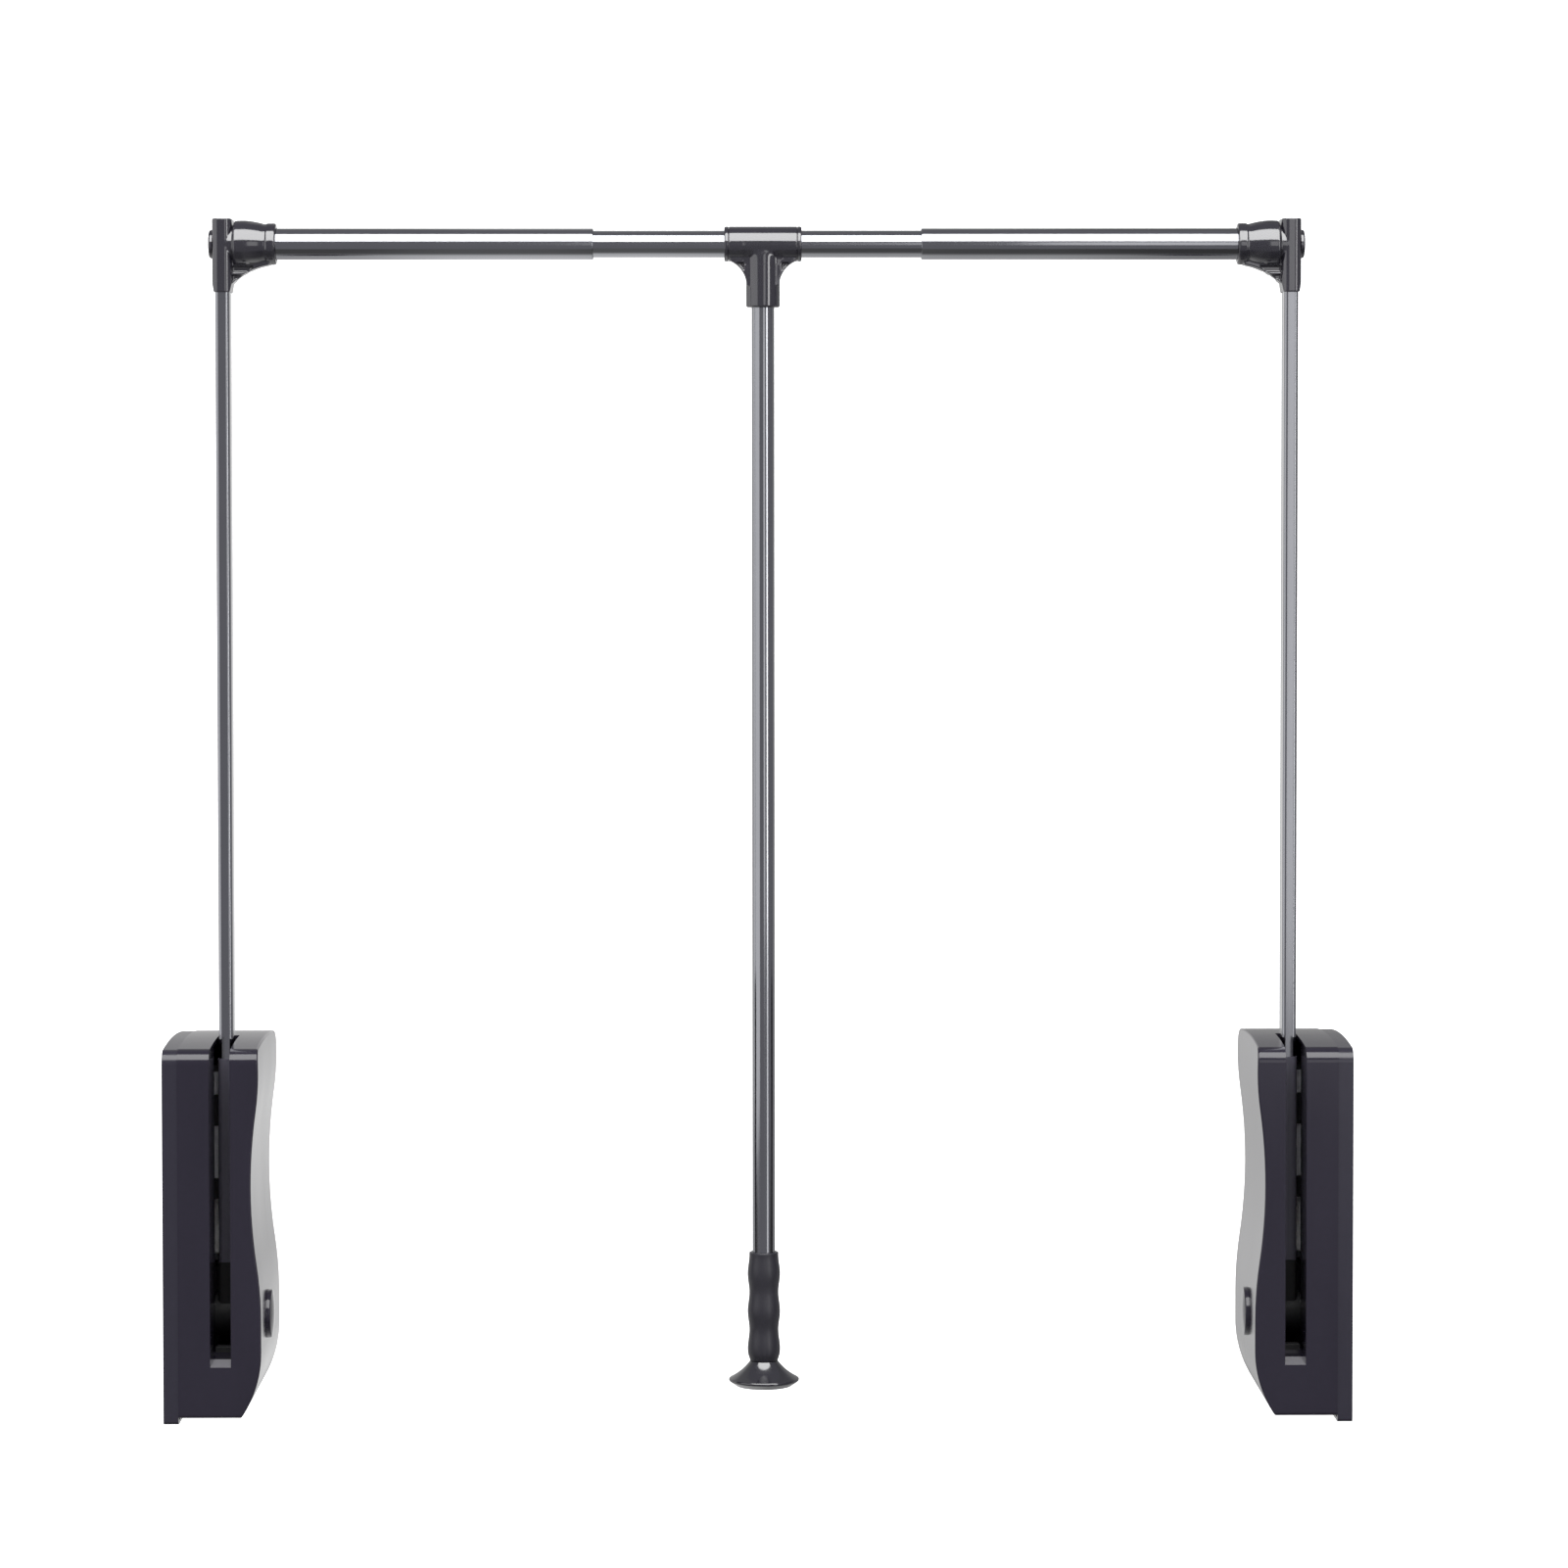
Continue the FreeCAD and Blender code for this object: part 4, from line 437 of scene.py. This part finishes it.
class LiftFittings(bpy.types.PropertyGroup):
    rim_round: FloatProperty(
        name="Tee rim", description="Rounding of the tee's end rims",
        default=0.0026, min=0.0002, unit="LENGTH")
    cap_rise: FloatProperty(
        name="Cap rise", description="How far a pivot cap rises from its rim to its middle",
        default=0.0014, min=0.0002, unit="LENGTH")
    fitting_height: FloatProperty(
        name="Strut fitting", description="Height of the strut rod's end fitting",
        default=0.018, min=0.005, unit="LENGTH")
    rod_radius: FloatProperty(
        name="Strut rod", description="Radius of the strut's rod",
        default=0.0032, min=0.001, unit="LENGTH")


class LiftColours(bpy.types.PropertyGroup):
    casing: FloatVectorProperty(
        name="Casing", description="Black of the moulded casings",
        subtype="COLOR", size=3, default=srgb("#1f1c27"), min=0, max=1)
    connector: FloatVectorProperty(
        name="Connectors", description="Black of the corners and the tee",
        subtype="COLOR", size=3, default=srgb("#19181f"), min=0, max=1)
    grip: FloatVectorProperty(
        name="Grip", description="Dark grey of the grip",
        subtype="COLOR", size=3, default=srgb("#242329"), min=0, max=1)
    chrome: FloatVectorProperty(
        name="Chromium", description="Dark chromium of the tubes",
        subtype="COLOR", size=3, default=srgb("#aaabaf"), min=0, max=1)


class LiftStage(bpy.types.PropertyGroup):
    floor_drop: FloatProperty(
        name="Floor drop", description="Floor below the wall plates",
        default=1.00, min=0, unit="LENGTH")
    key_light: FloatProperty(
        name="Key light", description="Power of the softbox over the front",
        default=86, min=0, unit="POWER")
    bank_light: FloatProperty(
        name="Left bank", description="Power of the wide bank on the left",
        default=16, min=0, unit="POWER")
    strip_light: FloatProperty(
        name="Right strip", description="Power of the strip on the right",
        default=14, min=0, unit="POWER")
    card_light: FloatProperty(
        name="Bounce card", description="Power of the card behind the camera",
        default=9.5, min=0, unit="POWER")
    room_light: FloatProperty(
        name="Room", description="Strength of the dim room round the stage",
        default=0.26, min=0)
    lens: FloatProperty(
        name="Lens", description="Focal length for a 36 mm sensor, in millimetres",
        default=109.04, min=10)
    shift: FloatProperty(
        name="Shift", description="Upward shift of the picture, as a share of its width",
        default=-0.0625)
    camera_place: FloatVectorProperty(
        name="Camera place", description="Where the camera stands", size=3,
        subtype="XYZ", unit="LENGTH", default=(-0.0141, -3.3603, 0.6411))
    camera_turn: FloatVectorProperty(
        name="Camera turn", description="How the camera is turned", size=3,
        subtype="EULER", default=(math.pi / 2 - 0.0382, 0.0008, -0.0098))


# ---------------------------------------------------------------- pieces

class LIFT_OT_finishes(bpy.types.Operator):
    """Make the finishes and give each CAD node its own"""
    bl_idname = "lift.finishes"
    bl_label = "Finishes"

    def execute(self, context):
        FINISHES.update(make_finishes(context.scene.lift_colours))
        for name, item in frame["nodes"].items():
            item.data.materials.clear()
            item.data.materials.append(FINISHES[OWN_FINISHES.get(name, SLOTS[name])])
        return {"FINISHED"}


class LIFT_OT_arms(bpy.types.Operator):
    """Rectangular arm tubes with rounded corners"""
    bl_idname = "lift.arms"
    bl_label = "Arms"

    def execute(self, context):
        sizes = context.scene.lift_tubes
        wall = sizes.arm_wall
        for side, _ in SIDES:
            low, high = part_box(f"{side}_arm")
            centre = (low + high) / 2
            half_x, half_y = (high.x - low.x) / 2, (high.y - low.y) / 2
            outer = rounded_section(half_x, half_y, sizes.arm_corner)
            inner = rounded_section(half_x - wall, half_y - wall, sizes.arm_corner - wall)
            arm = sleeve(f"{side}_arm_tube", outer, inner, (low.z, high.z),
                         (centre.x, centre.y, 0))
            finish_of(arm, "tube_chrome")
            stands_for(arm, f"{side}_frame", f"{side}_arm")
        return {"FINISHED"}


class LIFT_OT_rail(bpy.types.Operator):
    """Outer rail tubes with rolled mouths round the inner tube"""
    bl_idname = "lift.rail"
    bl_label = "Rail"

    def execute(self, context):
        sizes = context.scene.lift_tubes
        lip = INNER_TUBE_RADIUS + 0.1 * MM
        edge, mouth_edge, inner_edge = 0.3 * MM, 0.8 * MM, 0.5 * MM
        for side, way in SIDES:
            low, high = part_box(f"{side}_outer_tube")
            centre = (low + high) / 2
            radius = (high.z - low.z) / 2
            bore = radius - sizes.tube_wall
            start, mouth = (low.x, high.x) if way > 0 else (high.x, low.x)
            roll = sizes.rolled_mouth * way
            outline = rounded([
                (start, bore), (start, radius), (mouth, radius), (mouth, lip),
                (mouth - roll, lip), (mouth - roll * 1.3, bore), (start, bore),
            ], [0, edge, mouth_edge, edge, inner_edge, inner_edge, 0])
            tube = turned(f"{side}_rail_tube", outline, (0, centre.y, centre.z), "x", sharp=50)
            finish_of(tube, "rail_chrome", "tube_chrome")
            stands_for(tube, f"{side}_frame", f"{side}_outer_tube")
        return {"FINISHED"}


class LIFT_OT_connectors(bpy.types.Operator):
    """Corners and tee with soft moulded edges"""
    bl_idname = "lift.connectors"
    bl_label = "Connectors"

    def execute(self, context):
        for side, _ in SIDES:
            corner = soft_copy(f"{side}_corner_connector", f"{side}_corner")
            self.lower_post(corner)
            finish_of(corner, "connector_plastic")
            stands_for(corner, f"{side}_frame", f"{side}_corner_connector")
        tee = soft_copy("tee_connector", "tee")
        self.soften_shoulder(tee)
        finish_of(tee, "connector_plastic")
        stands_for(tee, "pull_handle", "tee_connector")
        return {"FINISHED"}

    def lower_post(self, corner, swell=16.6 * MM, kept=0.3):
        """Bring the post's top down to the collar. Of the height over its swell, which lies
        this far above the rail's axis, a share is kept."""
        swell += RAIL.z
        points = np.empty(len(corner.data.vertices) * 3)
        corner.data.vertices.foreach_get("co", points)
        height = points[2::3]
        points[2::3] = np.minimum(height, swell + (height - swell) * kept)
        corner.data.vertices.foreach_set("co", points)

    def soften_shoulder(self, tee, half_width=14 * MM, front=5 * MM, rounds=60):
        """Blend the neck into the barrel in front: the points near their shoulder, from 15 mm
        below the rail's axis to 1 mm above it, are smoothed."""
        shape = bmesh.new()
        shape.from_mesh(tee.data)
        near = [point for point in shape.verts
                if abs(point.co.x - ROD.x) < half_width and point.co.y < RAIL.y - front
                and -15 * MM < point.co.z - RAIL.z < 1 * MM]
        for _ in range(rounds):
            bmesh.ops.smooth_vert(shape, verts=near, factor=0.5, use_axis_x=True,
                                  use_axis_y=True, use_axis_z=True)
        shape.to_mesh(tee.data)
        shape.free()


class LIFT_OT_grip(bpy.types.Operator):
    """Grip with finger bulges, and the pull rod's tube"""
    bl_idname = "lift.grip"
    bl_label = "Grip"

    def execute(self, context):
        place = (ROD.x, ROD.y, 0)
        grip = turned("grip_sleeve", self.skin(context.scene.lift_grip), place, sharp=60)
        finish_of(grip, "grip_rubber")
        stands_for(grip, "pull_handle", "grip")

        low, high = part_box("pull_rod")
        radius, wall = (high.x - low.x) / 2, 1.2 * MM
        bore = radius - wall
        outline = rounded([(low.z, bore), (low.z, radius), (high.z, radius), (high.z, bore),
                           (low.z, bore)], 0.3 * MM)
        rod = turned("pull_rod_tube", outline, place, sharp=50)
        finish_of(rod, "tube_chrome")
        stands_for(rod, "pull_handle", "pull_rod")
        return {"FINISHED"}

    def skin(self, sizes):
        """Outline of the grip. Its radius is the mean of bulge and waist, plus half their
        difference times the cosine of the turn from the middle bulge, one turn to a pitch. Over
        the lowest 6 mm it eases in from the lower end with the sine of the height."""
        low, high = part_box("grip")
        bore = reach("pull_rod").x / 2 + 0.05 * MM
        edge, chamfer = 1.0 * MM, 0.7 * MM
        height = np.linspace(low.z + 1.2 * MM, high.z - chamfer, 150)
        middle_bulge = low.z + (high.z - low.z) * 0.458
        wave = np.cos(2 * np.pi * (height - middle_bulge) / sizes.pitch)
        radius = (sizes.bulge + sizes.waist) / 2 + (sizes.bulge - sizes.waist) / 2 * wave
        tuck = np.clip((height - low.z) / (6 * MM), 0, 1)
        radius = sizes.foot_end + (radius - sizes.foot_end) * np.sin(tuck * np.pi / 2)
        return np.vstack([
            [(low.z, bore), (low.z, radius[0] - edge),
             (low.z + 0.4 * MM, radius[0] - 0.3 * MM)],
            np.column_stack([height, radius]),
            [(high.z - 0.2 * MM, radius[-1] - 0.2 * MM), (high.z, radius[-1] - chamfer),
             (high.z, bore), (low.z, bore)],
        ])


class LIFT_OT_fittings(bpy.types.Operator):
    """Tee rims, pivot caps and the strut rods with their end fittings"""
    bl_idname = "lift.fittings"
    bl_label = "Fittings"

    def execute(self, context):
        sizes = context.scene.lift_fittings
        self.rims(sizes.rim_round)
        for side, way in SIDES:
            self.cap(side, way, sizes.cap_rise)
            self.strut_rod(side, sizes)
        return {"FINISHED"}

    def rims(self, size, length=15 * MM, shank=10.9 * MM, edge=0.3 * MM):
        """Flanged bushes of the tee: a bore, a shank and a rim with two quarter rounds."""
        low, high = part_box("tee_bushes")
        body_low, body_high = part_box("tee_connector")
        centre = (low + high) / 2
        radius = (high.z - low.z) / 2
        bore = INNER_TUBE_RADIUS + 0.1 * MM
        for side, end, shoulder in (("left", low.x, body_low.x), ("right", high.x, body_high.x)):
            inside = shoulder + math.copysign(length, shoulder - end)
            outline = rounded([
                (inside, bore), (end, bore), (end, radius), (shoulder, radius),
                (shoulder, shank), (inside, shank), (inside, bore),
            ], [0, edge, size, size * 0.6, 0, edge, 0])
            rim = turned(f"tee_rim_{side}", outline, (0, centre.y, centre.z), "x", sharp=50)
            finish_of(rim, "connector_plastic")
            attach(rim, "pull_handle")
        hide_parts("tee_bushes")

    def cap(self, side, way, rise, rim=0.6 * MM):
        """Pivot cap: a flat seat, a short rim, then a shallow dome that falls with the square
        of the radius."""
        low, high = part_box(f"{side}_pivot_cap")
        centre = (low + high) / 2
        radius = (high.y - low.y) / 2
        seat, face = (low.x, high.x) if way > 0 else (high.x, low.x)
        share = np.linspace(1, 0, 24)
        dome = np.column_stack([face - way * rise * share ** 2, radius * share * 0.97])
        outline = np.vstack([[(seat, 0), (seat, radius), (dome[0, 0] - way * rim, radius)],
                             dome])
        cap = turned(f"{side}_cap", outline, (0, centre.y, centre.z), "x", sharp=50)
        finish_of(cap, SLOTS[f"{side}_pivot_cap"])
        stands_for(cap, f"wall_unit_{side}", f"{side}_pivot_cap")

    def strut_rod(self, side, sizes, radius=6.6 * MM, foot=1.5 * MM, piston_height=6 * MM):
        """Strut rod: a pin, an end fitting whose radius falls to the rod's with about the
        square of the height over its foot, then rod and piston."""
        low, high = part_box(f"{side}_strut_rod")
        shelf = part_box(f"{side}_rack")[1].z
        centre = (low + high) / 2
        rod, piston = sizes.rod_radius, (high.x - low.x) / 2
        neck = rod + 0.2 * MM
        share = np.linspace(0, 1, 24)
        fitting = np.column_stack([
            shelf + foot + (sizes.fitting_height - foot) * share,
            radius - (radius - neck) * share ** 2.2,
        ])
        outline = np.vstack([
            [(low.z, 0), (low.z, rod), (shelf, rod), (shelf, radius - 1 * MM),
             (shelf + 0.5 * MM, radius - 0.3 * MM)],
            fitting,
            [(fitting[-1, 0], rod), (high.z - piston_height, rod),
             (high.z - piston_height, piston), (high.z, piston), (high.z, 0)],
        ])
        piece = turned(f"{side}_strut_piston", outline, (centre.x, centre.y, 0), sharp=50)
        finish_of(piece, "strut_rod", "pin_steel")
        stands_for(piece, f"{side}_rack_unit", f"{side}_strut_rod")


# ---------------------------------------------------------------- stage

# each lamp: name, place, target, width and height, the setting of its power, its share of it
SOFTBOXES = (
    ("Front softbox", (0, -1.267, 2.079), (0, -0.343, 0.897), (3.0, 1.9), "key_light", 1),
    ("Left bank", (-2.3, -0.45, 0.7), (0.15, 0.39, 0.7), (3.7, 1.9), "bank_light", 1),
    ("Right strip", (2.2, -2.6, 0.95), (0, 0, 0.8), (0.7, 2.0), "strip_light", 1),
    ("Low right strip", (2.2, -2.6, -0.5), (0, 0, -0.5), (0.7, 0.9), "strip_light", 0.18),
    ("Bounce card", (1.15, -6.2, 0.75), (0, 0, 0.6), (1.6, 2.3), "card_light", 1),
)


class LIFT_OT_stage(bpy.types.Operator):
    """Pale floor and backdrop, soft lights and the camera"""
    bl_idname = "lift.stage"
    bl_label = "Stage"

    def execute(self, context):
        sizes = context.scene.lift_stage
        scene = context.scene
        scene.view_settings.view_transform = "Standard"
        self.backdrop(sizes.floor_drop)
        self.room(scene, sizes.room_light)
        for name, place, target, size, setting, share in SOFTBOXES:
            self.softbox(name, place, target, size, getattr(sizes, setting) * share)
        self.camera(scene, sizes)
        return {"FINISHED"}

    def backdrop(self, drop, bend=1.6, half_width=6):
        """Floor that rises into a wall: a straight run, a quarter circle of 1 m, a straight
        rise."""
        turn = np.linspace(0, np.pi / 2, 24)
        y = np.concatenate([[-2.2, -1.0, 0, 1.0], bend + np.sin(turn), [bend + 1, bend + 1]])
        z = np.concatenate([[0, 0, 0, 0], 1 - np.cos(turn), [3, 6]]) - drop
        x = np.linspace(-half_width, half_width, 13)
        grid = np.stack(np.broadcast_arrays(x[None], y[:, None], z[:, None]), axis=-1)
        floor = surface("floor_and_backdrop", grid, wrap_columns=False)
        if floor.data.polygons[0].normal.z < 0:
            floor.data.flip_normals()
        floor.data.materials.append(self.paper())

    def paper(self):
        """White paper, lit from behind. The camera sees its full glow at the back and far from
        the lift, and less of it round the lift, where plain paper keeps the shadow. In gloss
        the glow fades towards the front, from left to right, to both sides and upwards. From
        behind, the sheet is clear."""
        material, tree = new_material("White paper backdrop")
        path = node(tree, "LightPath").outputs
        place = node(tree, "TexCoord").outputs["Object"]
        along = node(tree, "SeparateXYZ", {0: place}).outputs
        flat = node(tree, "VectorMath", {0: place, 1: (1, 1, 0)}, operation="MULTIPLY")
        far = node(tree, "VectorMath", {0: flat}, operation="LENGTH").outputs["Value"]
        aside = node(tree, "Math", {0: along["X"]}, operation="ABSOLUTE")
        spans = {
            # what is measured, from and to in metres, strength at either end
            "back": (along["Y"], 0.5, 1.1, 0.3, 1.0),
            "far": (far, 0.9, 1.6, 0.3, 1.0),
            "near": (along["Y"], -0.6, 0.5, 0.2, 1.0),
            "side": (along["X"], -0.15, 0.15, 1.0, 0.65),
            "wide": (aside, 0.3, 0.55, 1.0, 0.6),
            "high": (along["Z"], 1.2, 2.2, 1.0, 0.5),
        }
        fades = {}
        for name, (value, start, end, first, last) in spans.items():
            fades[name] = node(tree, "MapRange", {
                "Value": value, "From Min": start, "From Max": end, "To Min": first,
                "To Max": last}, interpolation_type="SMOOTHSTEP")
        full = node(tree, "Math", {0: fades["back"], 1: fades["far"]}, operation="MAXIMUM")
        seen = node(tree, "Math", {0: path["Is Camera Ray"], 1: path["Is Transmission Ray"]},
                    operation="MAXIMUM")
        seen = node(tree, "Math", {0: seen, 1: full}, operation="MULTIPLY")
        shine = path["Is Glossy Ray"]
        for name in ("near", "side", "wide", "high"):
            shine = node(tree, "Math", {0: shine, 1: fades[name]}, operation="MULTIPLY")
        strength = node(tree, "Math", {0: seen, 1: shine}, operation="ADD")
        glow = node(tree, "Emission", {"Color": (1, 1, 1, 1), "Strength": strength})
        paper = node(tree, "BsdfDiffuse", {"Color": shade(srgb("#e7e7e7"))})
        dull = node(tree, "MixShader", {"Fac": path["Is Glossy Ray"], 1: paper})
        both = node(tree, "AddShader", {0: glow, 1: dull})
        clear = node(tree, "BsdfTransparent")
        behind = node(tree, "NewGeometry").outputs["Backfacing"]
        sheet = node(tree, "MixShader", {"Fac": behind, 1: both, 2: clear})
        node(tree, "OutputMaterial", {"Surface": sheet})
        return material

    def room(self, scene, strength):
        """A dim, slightly violet room that the camera sees as white."""
        world = bpy.data.worlds.new("Studio room")
        scene.world = world
        world.use_nodes = True
        tree = world.node_tree
        tree.nodes.clear()
        seen = node(tree, "LightPath").outputs["Is Camera Ray"]
        dim = node(tree, "Background", {"Color": (0.93, 0.92, 1.0, 1), "Strength": strength})
        white = node(tree, "Background", {"Color": (1, 1, 1, 1), "Strength": 1.0})
        light = node(tree, "MixShader", {"Fac": seen, 1: dim, 2: white})
        node(tree, "OutputWorld", {"Surface": light})

    def softbox(self, name, place, target, size, power):
        """A rectangular lamp that shines on a target and stays out of the picture."""
        lamp = bpy.data.lights.new(name, "AREA")
        lamp.shape = "RECTANGLE"
        lamp.size, lamp.size_y = size
        lamp.energy = power
        item = bpy.data.objects.new(name, lamp)
        bpy.context.scene.collection.objects.link(item)
        item.location = place
        item.rotation_euler = (Vector(target) - Vector(place)).to_track_quat("-Z", "Y").to_euler()
        item.visible_camera = False

    def camera(self, scene, sizes):
        """The camera, level with the upper half of the lift."""
        camera = bpy.data.cameras.new("Camera")
        camera.lens = sizes.lens
        camera.sensor_width = 36
        camera.shift_y = sizes.shift
        item = bpy.data.objects.new("Camera", camera)
        scene.collection.objects.link(item)
        item.location = sizes.camera_place
        item.rotation_euler = sizes.camera_turn
        scene.camera = item


class VIEW3D_PT_lift(bpy.types.Panel):
    """Sizes, colours and pieces of the closet rod"""
    bl_idname = "VIEW3D_PT_lift"
    bl_label = "Closet Rod"
    bl_space_type = "VIEW_3D"
    bl_region_type = "UI"
    bl_category = "Closet Rod"

    def draw(self, context):
        layout = self.layout
        for group in GROUPS:
            box = layout.box()
            for name in GROUPS[group].__annotations__:
                box.prop(getattr(context.scene, group), name)
        for operator in OPERATORS:
            layout.operator(operator.bl_idname)


GROUPS = {
    "lift_tubes": LiftTubes,
    "lift_grip": LiftGrip,
    "lift_fittings": LiftFittings,
    "lift_colours": LiftColours,
    "lift_stage": LiftStage,
}
OPERATORS = (LIFT_OT_finishes, LIFT_OT_arms, LIFT_OT_rail, LIFT_OT_connectors, LIFT_OT_grip,
             LIFT_OT_fittings, LIFT_OT_stage)
CLASSES = (*GROUPS.values(), *OPERATORS, VIEW3D_PT_lift)


def register():
    for item in CLASSES:
        bpy.utils.register_class(item)
    for name, group in GROUPS.items():
        setattr(bpy.types.Scene, name, PointerProperty(type=group))


def unregister():
    for name in GROUPS:
        delattr(bpy.types.Scene, name)
    for item in reversed(CLASSES):
        bpy.utils.unregister_class(item)


def main():
    register()
    bpy.ops.lift.finishes()
    bpy.ops.lift.arms()
    bpy.ops.lift.rail()
    bpy.ops.lift.connectors()
    bpy.ops.lift.grip()
    bpy.ops.lift.fittings()
    bpy.ops.lift.stage()


if __name__ == "__main__":
    main()
